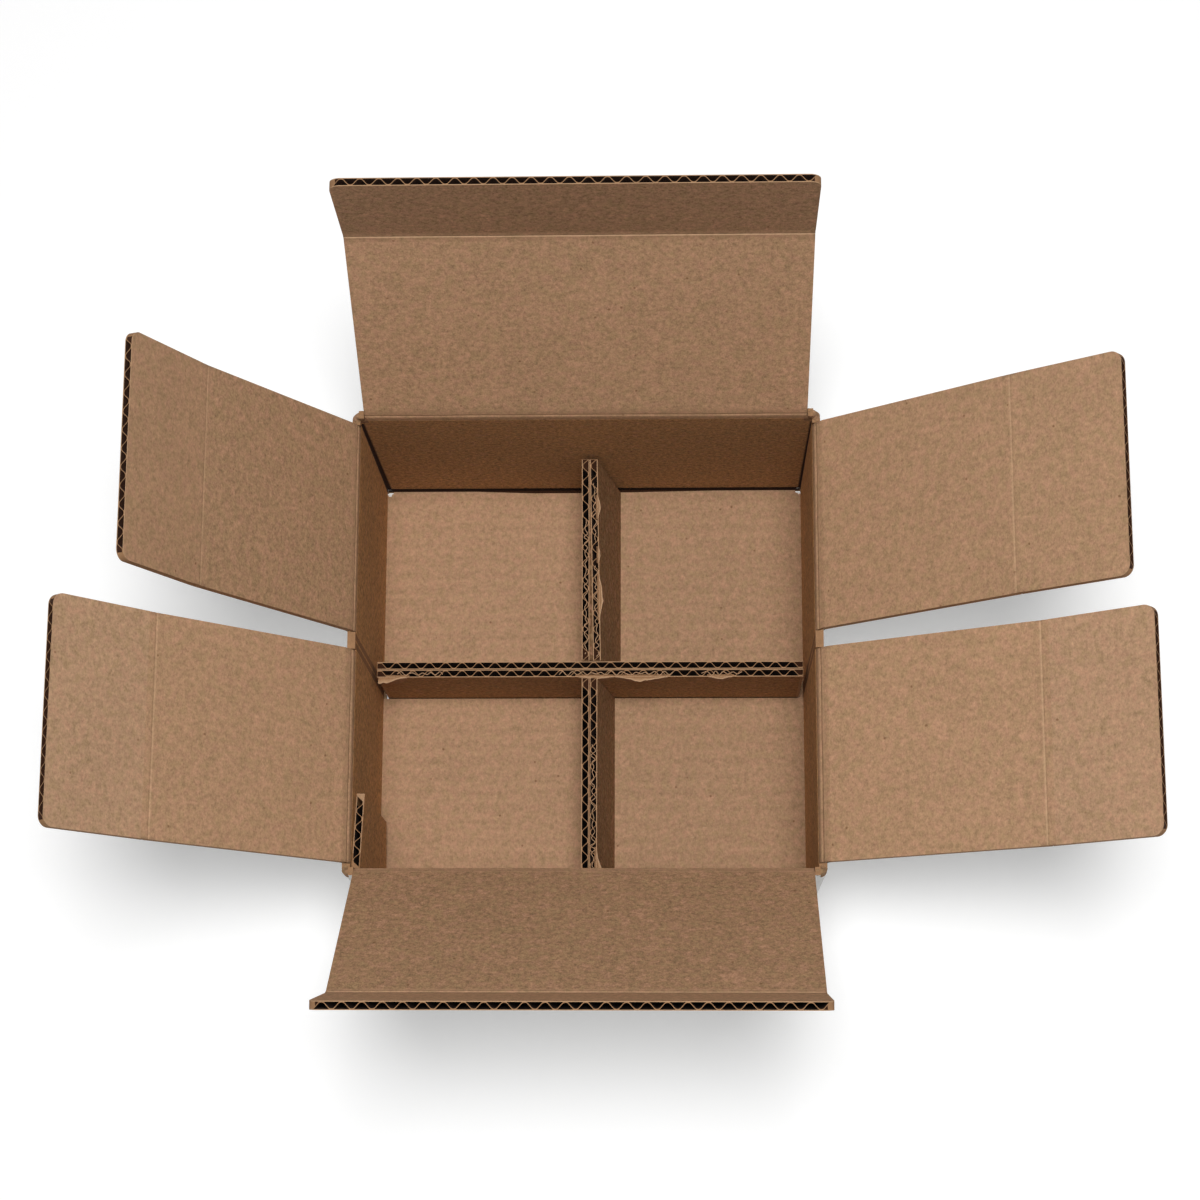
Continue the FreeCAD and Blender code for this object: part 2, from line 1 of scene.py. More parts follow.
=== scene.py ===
import json
import math
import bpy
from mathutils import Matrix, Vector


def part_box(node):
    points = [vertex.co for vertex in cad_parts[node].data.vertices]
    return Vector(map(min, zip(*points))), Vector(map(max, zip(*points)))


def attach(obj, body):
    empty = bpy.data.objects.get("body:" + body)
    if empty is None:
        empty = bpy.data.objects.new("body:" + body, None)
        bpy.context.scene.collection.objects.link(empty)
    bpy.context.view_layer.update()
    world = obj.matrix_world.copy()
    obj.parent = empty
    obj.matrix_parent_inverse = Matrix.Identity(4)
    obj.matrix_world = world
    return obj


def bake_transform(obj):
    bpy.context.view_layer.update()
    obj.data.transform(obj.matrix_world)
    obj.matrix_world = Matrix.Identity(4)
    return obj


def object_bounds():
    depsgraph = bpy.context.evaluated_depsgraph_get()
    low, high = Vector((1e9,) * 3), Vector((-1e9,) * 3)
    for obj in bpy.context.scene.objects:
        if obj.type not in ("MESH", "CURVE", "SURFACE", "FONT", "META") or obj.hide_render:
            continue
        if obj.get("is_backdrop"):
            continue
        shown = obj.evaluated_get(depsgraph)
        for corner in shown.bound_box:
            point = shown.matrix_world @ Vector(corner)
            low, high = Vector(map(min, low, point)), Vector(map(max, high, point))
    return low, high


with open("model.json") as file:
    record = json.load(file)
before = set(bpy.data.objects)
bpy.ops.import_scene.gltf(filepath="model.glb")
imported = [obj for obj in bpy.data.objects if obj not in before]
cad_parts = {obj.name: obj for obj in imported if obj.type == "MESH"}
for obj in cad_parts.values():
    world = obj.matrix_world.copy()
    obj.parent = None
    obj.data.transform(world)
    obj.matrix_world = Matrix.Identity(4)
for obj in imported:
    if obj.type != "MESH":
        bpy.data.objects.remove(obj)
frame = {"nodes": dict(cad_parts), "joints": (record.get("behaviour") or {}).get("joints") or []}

from types import SimpleNamespace

import bpy
import numpy as np
from mathutils import Matrix, Vector

# Mailer box with four cells, of single-wall corrugated board: brown paper inside and a white
# liner outside. Lengths are in millimetres, but in metres in the frame, the meshes, the floor,
# the lamp and the camera.

MM = 0.001
BOARD = 3.0  # board's thickness
MID_BOARD = BOARD / 2
HALF_WEB = 0.3  # fold axis above the outer liner's face
CRUSHED = 3.3  # half width of the crushed band along a fold
FLUTE = 6.5  # length of one flute
EDGE_SEAL = 0.8  # least board left closed beside the outermost flute
HALF_MOUTH = 2.54  # half a flute's hollow, at the liner
NARROWING = 2.3  # how far in from its mouth's end a hollow narrows
WALL_SIDE = 86.0  # side walls' inner faces, from the middle
WALL_END = 85.5  # end walls' inner faces, from the middle
FLOOR_TOP = 6.2  # top of the inner bottom flaps
CORNERS_UP = 104.0  # the rim's corners stand above this
CORNERS_OUT = 83.0  # and further than this from the middle, both ways
TAB_FACE = WALL_SIDE - BOARD  # glue tab's inner face, from the middle
TAB_END = 60.0  # its cut end is nearer to the middle than this, its open flutes further out
DIVIDER_TOP = 50.0  # top of the cross divider
REAR_TOP = 58.0  # and of its rear end
REAR_LEAN = 9.0  # degrees that the divider's rear right lip leans by
FRONT_LEAN = 7.6  # and its front right one
PLY_GAP = 0.1  # a divider lip's inner face, from the divider's middle
HALVES_OUT = 13.0  # the halves from front to back lie nearer than this to the middle
HALVES_END = 3.3  # where they begin, from the middle
REAR_RUN = 80.2  # how far the rear one's top edge slopes
LONG_END = 84.0  # ends of the lips from side to side, from the middle
LONG_FLUTES = 79.9  # and where their real hollows end
HALF_MIDDLE = 43.5  # middle of a lip from front to back, from the box's middle
HALF_END = 40.0  # its ends, from its own middle
HALF_FLUTES = 34.3  # and where its real hollows end
STANDING = 8.0  # what lies above this stands up from the floor
SKIN = 0.02  # a face's points lie within this depth
SEALED = 0.12  # no hollow is seen nearer than this to a face
SQUARE_ON = 0.9  # a normal's share along the way that its face looks squarely
END_ON = 0.97  # and along the fold, on the side of a panel
UP = np.array([0.0, 0.0, 1.0])
ACROSS = (1, 0, 0)
BACKWARD = (0, 1, 0)
FORWARD = (0, -1, 0)

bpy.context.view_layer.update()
joints = {joint["name"]: joint for joint in frame["joints"]}
FLAPS = ["back", "front", "rear_left", "front_left", "rear_right", "front_right"]


def colour(red, green, blue):
    """A display colour of 0 to 255 as the shader's linear one."""
    shares = [value / 255 for value in (red, green, blue)]
    linear = [s / 12.92 if s <= 0.04045 else ((s + 0.055) / 1.055) ** 2.4 for s in shares]
    return (*linear, 1.0)


BROWN = colour(167, 132, 101)
PINKISH = colour(174, 132, 106)
OLIVE = colour(160, 132, 96)
DARK_FLECK = colour(98, 62, 36)
SMALL_FLECK = colour(112, 78, 50)
PALE_FIBRE = colour(196, 164, 132)
BLEACHED = colour(230, 229, 225)
THIN_BLEACH = colour(208, 200, 188)
SCUFFED = colour(190, 176, 158)
WHITE_SPECK = colour(126, 108, 90)
CUT_MEDIUM = colour(148, 112, 80)
CUT_LINER = colour(170, 136, 104)
# Near-black browns of painted shade, for the insides of the flutes' hollows.
DEEP_HOLLOW_SHADE = colour(30, 12, 3)
HOLLOW_SIDE_SHADE = colour(62, 34, 15)
# Inside browns with painted light and shade: the right floor darker than the left, the side walls
# paler than the end walls, walls and lips deeper than the panels, and the lips that face the sides
# darker still.
LEFT_FLOOR = colour(168, 133, 103)
RIGHT_FLOOR_SHADE = colour(160, 127, 98)
END_WALL_SHADE = colour(173, 132, 88)
SIDE_WALL_LIGHT = colour(195, 150, 99)
LONG_LIP_SHADE = colour(161, 122, 80)
HALF_LIP_SHADE = colour(134, 101, 65)
SCRAPED = colour(208, 182, 150)
# The rim's corners: a dark brown of painted shade.
RIM_CORNER_SHADE = colour(132, 101, 72)
# The brown of a fold's crest: paler, as rubbed paper and as a painted highlight.
WORN_AND_LIT_BROWN = colour(198, 164, 130)
# The corner rolls' brown, darkened as painted shade.
BUNCHED_SHADE_BROWN = colour(136, 104, 74)
# The divider's seam: a dark brown of painted shade.
SHADED_BROWN = colour(104, 74, 48)

# Panels painted a little darker or paler than the rest, as painted light and shade: the front
# flap and the rear left flap darker, the lips paler.
PANEL_LIGHT_AND_SHADE = {"front_flap": colour(152, 119, 89), "rear_left_flap": colour(163, 129, 98),
          "front_left_lip": colour(172, 138, 108), "rear_left_lip": colour(172, 136, 104),
          "front_right_lip": colour(173, 138, 108), "front_lip": colour(184, 145, 110)}

# Panels whose fibres stand out more than the rest.
MOTTLED = {"back_lip": 1.6, "back_flap": 1.25, "front_flap": 1.5, "front_lip": 1.4,
           "rear_left_flap": 1.25}


# ---- node helpers -----------------------------------------------------------


def add_node(tree, kind, settings=None, **inputs):
    """A node of a tree, with its settings, and its inputs linked or given their values. An
    underscore in an input's name stands for a space."""
    made = tree.nodes.new(kind)
    for name, setting in (settings or {}).items():
        setattr(made, name, setting)
    for name, given in inputs.items():
        join(tree, made.inputs[name.replace("_", " ")], given)
    return made


def join(tree, socket, given):
    """Links a socket, or sets its value."""
    if isinstance(given, bpy.types.NodeSocket):
        tree.links.new(given, socket)
    else:
        socket.default_value = given


def calc(tree, operation, *given, clamp=False):
    """One step of arithmetic on numbers."""
    made = add_node(tree, "ShaderNodeMath", {"operation": operation, "use_clamp": clamp})
    for socket, value in zip(made.inputs, given):
        join(tree, socket, value)
    return made.outputs[0]


def calc_vector(tree, operation, *given):
    """One step of arithmetic on vectors. A dot product and a length give a number."""
    made = add_node(tree, "ShaderNodeVectorMath", {"operation": operation})
    for socket, value in zip(made.inputs, given):
        join(tree, socket, value)
    return made.outputs["Value" if operation in ("DOT_PRODUCT", "LENGTH") else "Vector"]


def scaled(tree, vector, size):
    """A vector or a colour times a number."""
    made = calc_vector(tree, "SCALE", vector)
    join(tree, made.node.inputs["Scale"], size)
    return made


def minus(tree, first, second):
    """The first number less the second."""
    return calc(tree, "SUBTRACT", first, second)


def size_of(tree, value):
    """A number without its sign."""
    return calc(tree, "ABSOLUTE", value)


def choose(tree, mask, without, within):
    """One number where a mask is 0, and another where it is 1."""
    return calc(tree, "MULTIPLY_ADD", minus(tree, within, without), mask, without)


def sway(tree, value, size, base):
    """A base, moved by how far an even noise is from its middle, times a size."""
    return calc(tree, "MULTIPLY_ADD", minus(tree, value, 0.5), size, base)


def blend_colour(tree, share, low, high):
    """Mixes two colours by a share."""
    made = add_node(tree, "ShaderNodeMix", {"data_type": "RGBA"})
    for number, given in ((0, share), (6, low), (7, high)):
        join(tree, made.inputs[number], given)
    return made.outputs[2]


def spread(tree, value, from_low, from_high, to_low, to_high):
    """Carries a value from one range to another, held at its ends."""
    made = add_node(tree, "ShaderNodeMapRange", None, Value=value, From_Min=from_low,
                    From_Max=from_high, To_Min=to_low, To_Max=to_high)
    return made.outputs[0]


def above(tree, value, limit):
    """1 where a value is greater than its limit."""
    return calc(tree, "GREATER_THAN", value, limit)


def below(tree, value, limit):
    """1 where a value is less than its limit."""
    return calc(tree, "LESS_THAN", value, limit)


def between(tree, value, low, high):
    """1 where a value lies between two limits."""
    return both(tree, above(tree, value, low), below(tree, value, high))


def both(tree, *masks):
    """1 where all the masks are."""
    result = masks[0]
    for mask in masks[1:]:
        result = calc(tree, "MULTIPLY", result, mask)
    return result


def either(tree, *masks):
    """1 where any of the masks is."""
    result = masks[0]
    for mask in masks[1:]:
        result = calc(tree, "MAXIMUM", result, mask)
    return result


def outside_of(tree, mask):
    """1 where a mask is 0."""
    return minus(tree, 1.0, mask)


def new_group(name, inputs, outputs):
    """A shader group with named inputs (name, kind, default) and outputs (name, kind)."""
    tree = bpy.data.node_groups.new(name, "ShaderNodeTree")
    for title, kind, default in inputs:
        socket = tree.interface.new_socket(title, in_out="INPUT", socket_type="NodeSocket" + kind)
        socket.default_value = default
    for title, kind in outputs:
        tree.interface.new_socket(title, in_out="OUTPUT", socket_type="NodeSocket" + kind)
    given = tree.nodes.new("NodeGroupInput").outputs
    return tree, given, tree.nodes.new("NodeGroupOutput").inputs


def noise(tree, place, scale, detail=2.0, rough=0.5):
    """Even noise of about 0 to 1 at a place given in millimetres."""
    made = add_node(tree, "ShaderNodeTexNoise", None, Vector=place, Scale=scale, Detail=detail,
                    Roughness=rough)
    return made.outputs[0]


def stretched(tree, place, sizes, scale):
    """Noise drawn out by a different size along each axis."""
    return noise(tree, calc_vector(tree, "MULTIPLY", place, sizes), scale, 3.0, 0.6)


def specks(tree, place, scale, size, share):
    """Round specks: a cell's middle is marked where the cell's own number is under share."""
    cells = add_node(tree, "ShaderNodeTexVoronoi", None, Vector=place, Scale=scale)
    pick = add_node(tree, "ShaderNodeSeparateColor", None, Color=cells.outputs["Color"])
    near = spread(tree, cells.outputs["Distance"], size * 0.5, size, 1.0, 0.0)
    return both(tree, near, below(tree, pick.outputs[0], share))


def tinge(tree, look, mask, share, tint):
    """Lays a tint over a look by a share where a mask is 1."""
    return blend_colour(tree, calc(tree, "MULTIPLY", mask, share), look, tint)


# ---- shader groups ----------------------------------------------------------

PLACE = ("Place", "Vector", (0, 0, 0))
OVER_FLUTES = [("Flutes", "Float", 0.0), ("Banding", "Float", 0.5)]
LOOK = [("Color", "Color"), ("Roughness", "Float"), ("Height", "Float")]


def bands(tree, given):
    """The liner's rise and fall over the flutes: a cosine of one flute's length."""
    turns = calc(tree, "MULTIPLY", given["Flutes"], 2 * math.pi / FLUTE)
    return calc(tree, "MULTIPLY", calc(tree, "COSINE", turns), given["Banding"])


def paper_group():
    """Brown recycled paper: a ground mottled by short fibres, in patches that lean to pink or
    to olive, with soft clouds, scattered dark flecks and pale fibres, and faint bands of painted
    shade where the liner sinks between the flutes."""
    tree, given, put = new_group(
        "brown_paper",
        [PLACE, *OVER_FLUTES, ("Paper", "Color", BROWN), ("Mottle", "Float", 1.0)], LOOK)
    place = given["Place"]
    fibres = noise(tree, place, 0.62, 3.0, 0.6)
    fine = stretched(tree, place, (1.0, 0.6, 0.8), 1.9)
    cloud = noise(tree, place, 0.05, 3.0, 0.55)
    blotch = noise(tree, calc_vector(tree, "ADD", place, (40.0, 0.0, 90.0)), 0.28, 3.0, 0.6)
    wave = bands(tree, given)
    tone = calc(tree, "MULTIPLY", minus(tree, fibres, 0.5), 0.85)
    tone = calc(tree, "MULTIPLY_ADD", sway(tree, fine, 0.80, tone), given["Mottle"], 1.0)
    tone = sway(tree, blotch, 0.24, sway(tree, cloud, 0.16, tone))
    # Painted shade: the tone dips and rises a little with the flutes.
    tone = calc(tree, "MULTIPLY_ADD", wave, 0.022, tone)
    pink = blend_colour(tree, spread(tree, blotch, 0.5, 0.66, 0.0, 0.55), given["Paper"], PINKISH)
    tinted = blend_colour(tree, spread(tree, blotch, 0.5, 0.34, 0.0, 0.55), pink, OLIVE)
    bent = scaled(tree, place, calc(tree, "MULTIPLY_ADD", fine, 0.004, 1.0))
    dark = specks(tree, bent, 0.21, 0.13, 0.16)
    small = specks(tree, calc_vector(tree, "ADD", bent, (31.0, 17.0, 5.0)), 0.5, 0.22, 0.10)
    pale = specks(tree, calc_vector(tree, "MULTIPLY", place, (0.4, 1.1, 0.9)), 0.5, 0.2, 0.10)
    look = scaled(tree, tinted, tone)
    for mask, share, tint in ((dark, 0.62, DARK_FLECK), (small, 0.30, SMALL_FLECK),
                              (pale, 0.22, PALE_FIBRE)):
        look = tinge(tree, look, mask, share, tint)
    join(tree, put["Color"], look)
    join(tree, put["Roughness"], spread(tree, fibres, 0.3, 0.7, 0.95, 0.84))
    height = calc(tree, "MULTIPLY_ADD", fibres, 0.03, calc(tree, "MULTIPLY", wave, 0.05))
    join(tree, put["Height"], calc(tree, "MULTIPLY_ADD", fine, 0.02, height))
    return tree


def white_group():
    """The white liner: a thin bleached layer, clouded where the brown pulp shows through, with
    few specks, faint bands over the flutes, and scuffs."""
    tree, given, put = new_group("white_liner", [PLACE, *OVER_FLUTES], LOOK)
    place = given["Place"]
    cloud = noise(tree, place, 0.16, 4.0, 0.6)
    fibres = noise(tree, place, 1.3, 4.0, 0.6)
    scuffs = stretched(tree, place, (0.25, 1.4, 0.35), 0.5)
    wave = bands(tree, given)
    show = calc(tree, "MULTIPLY_ADD", minus(tree, cloud, 0.42), 0.9,
                calc(tree, "MULTIPLY", minus(tree, fibres, 0.5), 0.55), clamp=True)
    show = calc(tree, "MULTIPLY_ADD", wave, 0.03, show, clamp=True)
    look = blend_colour(tree, show, BLEACHED, THIN_BLEACH)
    look = blend_colour(tree, spread(tree, scuffs, 0.66, 0.74, 0.0, 0.3), look, SCUFFED)
    look = tinge(tree, look, specks(tree, place, 0.3, 0.1, 0.1), 0.5, WHITE_SPECK)
    join(tree, put["Color"], look)
    join(tree, put["Roughness"], spread(tree, fibres, 0.3, 0.7, 0.7, 0.58))
    join(tree, put["Height"], calc(tree, "MULTIPLY_ADD", fibres, 0.02,
                                   calc(tree, "MULTIPLY", wave, 0.05)))
    return tree


def edge_group():
    """A knife-cut edge: the torn ends of fibres, paler on the two liners, browner where the
    fluted paper between them is seen, and soiled in places. Depth is from either face."""
    tree, given, put = new_group("cut_edge", [PLACE, ("Depth", "Float", MID_BOARD)], LOOK)
    place = given["Place"]
    fuzz = noise(tree, place, 2.4, 4.0, 0.7)
    drift = noise(tree, place, 0.3, 2.0, 0.5)
    middle = size_of(tree, minus(tree, given["Depth"], MID_BOARD))
    look = blend_colour(tree, spread(tree, middle, 1.12, 1.24, 0.0, 1.0), CUT_MEDIUM, CUT_LINER)
    join(tree, put["Color"], scaled(tree, look, sway(tree, drift, 0.5, sway(tree, fuzz, 0.9, 1.0))))
    join(tree, put["Roughness"], 0.95)
    join(tree, put["Height"], calc(tree, "MULTIPLY", fuzz, 0.12))
    return tree


def hollow_shade_group():
    """The sides of a flute's hollow, painted near-black as painted shade a little way in from
    the cut.
    """
    tree, given, put = new_group("flute_hollow_shade", [PLACE], LOOK)
    fuzz = noise(tree, given["Place"], 1.2, 2.0, 0.6)
    join(tree, put["Color"], blend_colour(tree, fuzz, DEEP_HOLLOW_SHADE, HOLLOW_SIDE_SHADE))
    join(tree, put["Roughness"], 1.0)
    join(tree, put["Height"], fuzz)
    return tree


def flute_group():
    """Where a cut edge near a panel's side still shows open flutes: the zigzag of the fluted
    paper is a triangle wave of one flute's length, cut off at the liners, and all between the
    liners that lies off it is hollow. Past is how far along the real hollows end."""
    # The hollow it marks is painted near-black, as painted shade.
    slope, crest, swing = 1.11, 1.80, 1.07
    half_paper, half_inside, sealed = 0.2, 1.18, 0.15
    tree, given, put = new_group(
        "open_flutes",
        [("Along", "Float", 0.0), ("Middle", "Float", 0.0), ("Past", "Float", 80.0),
         ("End", "Float", 84.0)],
        [("Hollow", "Float")])
    zigzag = calc(tree, "PINGPONG", calc(tree, "ADD", given["Along"], FLUTE / 4), FLUTE / 2)
    height = spread(tree, calc(tree, "MULTIPLY_ADD", zigzag, slope, -crest),
                    -swing, swing, -swing, swing)
    off = size_of(tree, minus(tree, given["Middle"], height))
    reach = size_of(tree, given["Along"])
    inside = below(tree, size_of(tree, given["Middle"]), half_inside)
    join(tree, put["Hollow"], both(tree, above(tree, off, half_paper), inside,
                                   above(tree, reach, given["Past"]),
                                   below(tree, reach, minus(tree, given["End"], sealed))))
    return tree


def sheet_group():
    """Where a point lies on a flat panel: how far along its fold, how far out from the fold,
    and how deep from the white face to the brown one, all in millimetres."""
    tree, given, put = new_group(
        "place_on_sheet",
        [("Point", "Vector", (0, 0, 0)), ("Fold", "Vector", (0, 0, 0)),
         ("Along", "Vector", (1, 0, 0)), ("Out", "Vector", (0, 1, 0)),
         ("Inward", "Vector", (0, 0, 1)), ("Normal", "Vector", (0, 0, 1))],
        [("Along", "Float"), ("Out", "Float"), ("Depth", "Float"), ("Facing", "Float")])
    offset = calc_vector(tree, "SUBTRACT", given["Point"], given["Fold"])
    for name in ("Along", "Out"):
        length = calc_vector(tree, "DOT_PRODUCT", offset, given[name])
        join(tree, put[name], calc(tree, "MULTIPLY", length, 1 / MM))
    rise = calc_vector(tree, "DOT_PRODUCT", offset, given["Inward"])
    join(tree, put["Depth"], calc(tree, "MULTIPLY_ADD", rise, 1 / MM, HALF_WEB))
    join(tree, put["Facing"], calc_vector(tree, "DOT_PRODUCT", given["Normal"], given["Inward"]))
    return tree


PAPER = paper_group()
WHITE = white_group()
EDGE = edge_group()
HOLLOW_SHADE = hollow_shade_group()
OPEN = flute_group()
SHEET = sheet_group()


def use(tree, group, **inputs):
    """Places a shader group in a tree."""
    return add_node(tree, "ShaderNodeGroup", {"node_tree": group}, **inputs).outputs


def new_material(name):
    """A material with a plain shader, and the low sheen of paper."""
    material = bpy.data.materials.new(name)
    material.use_nodes = True
    tree = material.node_tree
    shader = tree.nodes["Principled BSDF"]
    shader.inputs["Specular IOR Level"].default_value = 0.25
    return material, tree, shader


def surface_spot(tree):
    """The surface's point in metres, the same in millimetres, and its normal."""
    spot = tree.nodes.new("ShaderNodeTexCoord").outputs
    return spot["Object"], scaled(tree, spot["Object"], 1 / MM), spot["Normal"]


def finish_surface(tree, shader, looks, masks):
    """Lays paper looks over one another, each over those before it where its mask is 1."""
    tint, rough, height = (looks[0][name] for name in ("Color", "Roughness", "Height"))
    for look, mask in zip(looks[1:], masks):
        tint = blend_colour(tree, mask, tint, look["Color"])
        rough = choose(tree, mask, rough, look["Roughness"])
        height = choose(tree, mask, height, look["Height"])
    join(tree, shader.inputs["Base Color"], tint)
    join(tree, shader.inputs["Roughness"], rough)
    bump = add_node(tree, "ShaderNodeBump", None, Strength=0.6, Distance=MM, Height=height)
    join(tree, shader.inputs["Normal"], bump.outputs[0])


def panel_material(name, fold, along, out, inward, reach, width):
    """A flat panel: white outside, brown inside, and cut edges between. reach is how far out
    its own crushed band lies, or 0 where it ends in a cut edge. width is along its fold."""
    material, tree, shader = new_material(name + "_board")
    point, place, normal = surface_spot(tree)
    spot = use(tree, SHEET, Point=point, Fold=tuple(fold), Along=tuple(along), Out=tuple(out),
               Inward=tuple(inward), Normal=normal)
    depth = spot["Depth"]
    # Painted light and shade: some panels' brown is painted darker or paler.
    paper = use(tree, PAPER, Place=place, Flutes=spot["Along"], Banding=0.35,
                Paper=PANEL_LIGHT_AND_SHADE.get(name, BROWN), Mottle=MOTTLED.get(name, 1.0))
    white = use(tree, WHITE, Place=place, Flutes=spot["Along"], Banding=0.5)
    edge = use(tree, EDGE, Place=place, Depth=depth)
    inside = use(tree, HOLLOW_SHADE, Place=place)
    outside = below(tree, depth, SKIN)
    band = below(tree, spot["Out"], CRUSHED)
    if reach:
        band = either(tree, band, above(tree, spot["Out"], reach - CRUSHED))
    crushed = both(tree, band, above(tree, spot["Facing"], 0.3))
    face = either(tree, above(tree, depth, BOARD - SKIN), crushed)
    cut = outside_of(tree, either(tree, face, outside))
    endways = size_of(tree, calc_vector(tree, "DOT_PRODUCT", normal, tuple(out)))
    sideways = size_of(tree, calc_vector(tree, "DOT_PRODUCT", normal, tuple(along)))
    # Painted shade: the flutes' hollows in the cut edges are painted near-black, the real ones and,
    # past them, those that the open flutes draw.
    hollow = both(tree, between(tree, depth, SEALED, BOARD - SEALED), below(tree, endways, 0.2),
                  below(tree, sideways, END_ON), above(tree, spot["Out"], CRUSHED + 0.5))
    if not reach:
        room = use(tree, OPEN, Along=spot["Along"], Middle=minus(tree, depth, MID_BOARD),
                   Past=last_flute(width), End=width / 2)
        hollow = either(tree, hollow, both(tree, room["Hollow"], above(tree, endways, SQUARE_ON)))
    finish_surface(tree, shader, [paper, white, edge, inside], [outside, cut, hollow])
    return material


def last_flute(width):
    """How far from a panel's middle its outermost flute's hollow narrows."""
    margin = 2 * (EDGE_SEAL + HALF_MOUTH) + FLUTE / 2
    furthest = math.floor((width - margin) / FLUTE) * FLUTE / 2 + FLUTE / 4
    return furthest + HALF_MOUTH - NARROWING


def shell_spot(tree):
    """Where a point of the standing box lies, in millimetres, and which way its face looks.
    side and end are the point's distances from the middle, and across and through how far its
    face looks to a side or an end. beside is 1 at the divider's halves from front to back,
    right where x is above 0, and tabbed on the glue tab. near is the distance to the divider's
    nearer middle plane and depth the depth in the board, both with the lean taken off."""
    _, place, normal = surface_spot(tree)
    at = add_node(tree, "ShaderNodeSeparateXYZ", None, Vector=place).outputs
    facing = add_node(tree, "ShaderNodeSeparateXYZ", None, Vector=normal).outputs
    side, end = size_of(tree, at["X"]), size_of(tree, at["Y"])
    beside = both(tree, above(tree, end, HALVES_END), below(tree, side, HALVES_OUT))
    rear, right = above(tree, at["Y"], 0.0), above(tree, at["X"], 0.0)
    tabbed = both(tree, above(tree, side, TAB_FACE - 0.1), below(tree, at["Y"], -TAB_END))
    lean = choose(tree, rear, math.radians(FRONT_LEAN), math.radians(REAR_LEAN))
    drop = minus(tree, choose(tree, rear, DIVIDER_TOP, REAR_TOP), at["Z"])
    shift = calc(tree, "MULTIPLY", drop, calc(tree, "TANGENT", lean))
    stand = minus(tree, side, calc(tree, "MULTIPLY", right, shift))
    depth = minus(tree, choose(tree, beside, end, stand), PLY_GAP)
    return SimpleNamespace(
        place=place, x=at["X"], y=at["Y"], z=at["Z"], side=side, end=end, look_x=facing["X"],
        look_y=facing["Y"], look_up=facing["Z"], across=size_of(tree, facing["X"]),
        through=size_of(tree, facing["Y"]), beside=beside, right=right, tabbed=tabbed,
        near=calc(tree, "MINIMUM", end, stand),
        depth=choose(tree, tabbed, depth, minus(tree, side, TAB_FACE)))


def signed(tree, value, other):
    """A number times the sign of another."""
    return calc(tree, "MULTIPLY", value, calc(tree, "SIGN", other))


def white_faces(tree, spot):
    """Where a face of the box is white: past the walls' inner faces if it looks outwards, and
    anywhere if it looks down."""
    past_side = both(tree, above(tree, spot.side, WALL_SIDE + 0.3),
                     above(tree, signed(tree, spot.look_x, spot.x), 0.05))
    past_end = both(tree, above(tree, spot.end, WALL_END + 0.3),
                    above(tree, signed(tree, spot.look_y, spot.y), 0.05))
    outside = either(tree, past_side, past_end, below(tree, spot.look_up, -0.3))
    return both(tree, outside, below(tree, spot.look_up, 0.6))


def cut_faces(tree, spot):
    """Where the box is cut: level faces above the floor, the glue tab's end, the ends of the
    lips, and the flutes of the lips from side to side."""
    top = both(tree, above(tree, spot.look_up, SQUARE_ON), above(tree, spot.z, STANDING))
    tab = both(tree, above(tree, spot.through, SQUARE_ON), above(tree, spot.side, TAB_FACE - 0.1),
               below(tree, spot.end, TAB_END))
    long_end = both(tree, above(tree, spot.across, SQUARE_ON),
                    between(tree, spot.side, LONG_END - 0.1, LONG_END + 0.1))
    half_end = both(tree, above(tree, spot.through, SQUARE_ON), below(tree, spot.side, HALVES_OUT),
                    between(tree, spot.end, HALVES_END - 0.1, LONG_END))
    flutes = both(tree, above(tree, spot.z, FLOOR_TOP + 0.6),
                  between(tree, spot.end, PLY_GAP + 0.35, PLY_GAP + BOARD - 0.35))
    return either(tree, top, tab, long_end, half_end, flutes)


def inner_brown(tree, spot, level):
    """The brown of each part inside the box: floors, walls, the divider's lips, which are
    scraped in places, and the rim's corners. Light and shade are painted into them: the right
    floor darker than the left, the walls that face the sides paler than the end walls, walls and
    lips a deeper brown than the panels, the lips that face the sides darker still, and the rim's
    corners dark."""
    lip = both(tree, below(tree, spot.near, 4.0), below(tree, spot.side, LONG_END + 0.5),
               below(tree, spot.end, LONG_END + 0.5))
    scrapes = stretched(tree, spot.place, (0.35, 0.35, 1.5), 0.45)
    scrapes = both(tree, spread(tree, scrapes, 0.63, 0.72, 0.0, 0.4), lip)
    sideways = above(tree, spot.across, 0.5)
    # Painted light and shade: walls that face the sides paler than the end walls, the divider's
    # lips darker, those that face the sides darker still.
    wall = blend_colour(tree, sideways, END_WALL_SHADE, SIDE_WALL_LIGHT)
    lips = blend_colour(tree, sideways, LONG_LIP_SHADE, HALF_LIP_SHADE)
    wall = blend_colour(tree, scrapes, blend_colour(tree, lip, wall, lips), SCRAPED)
    # Painted shade: the right floor darker than the left.
    bottom = blend_colour(tree, spot.right, LEFT_FLOOR, RIGHT_FLOOR_SHADE)
    # Painted shade: the rim's corners are painted dark.
    knuckle = both(tree, above(tree, spot.z, CORNERS_UP), above(tree, spot.side, CORNERS_OUT),
                   above(tree, spot.end, CORNERS_OUT))
    return blend_colour(tree, knuckle, blend_colour(tree, level, wall, bottom), RIM_CORNER_SHADE)


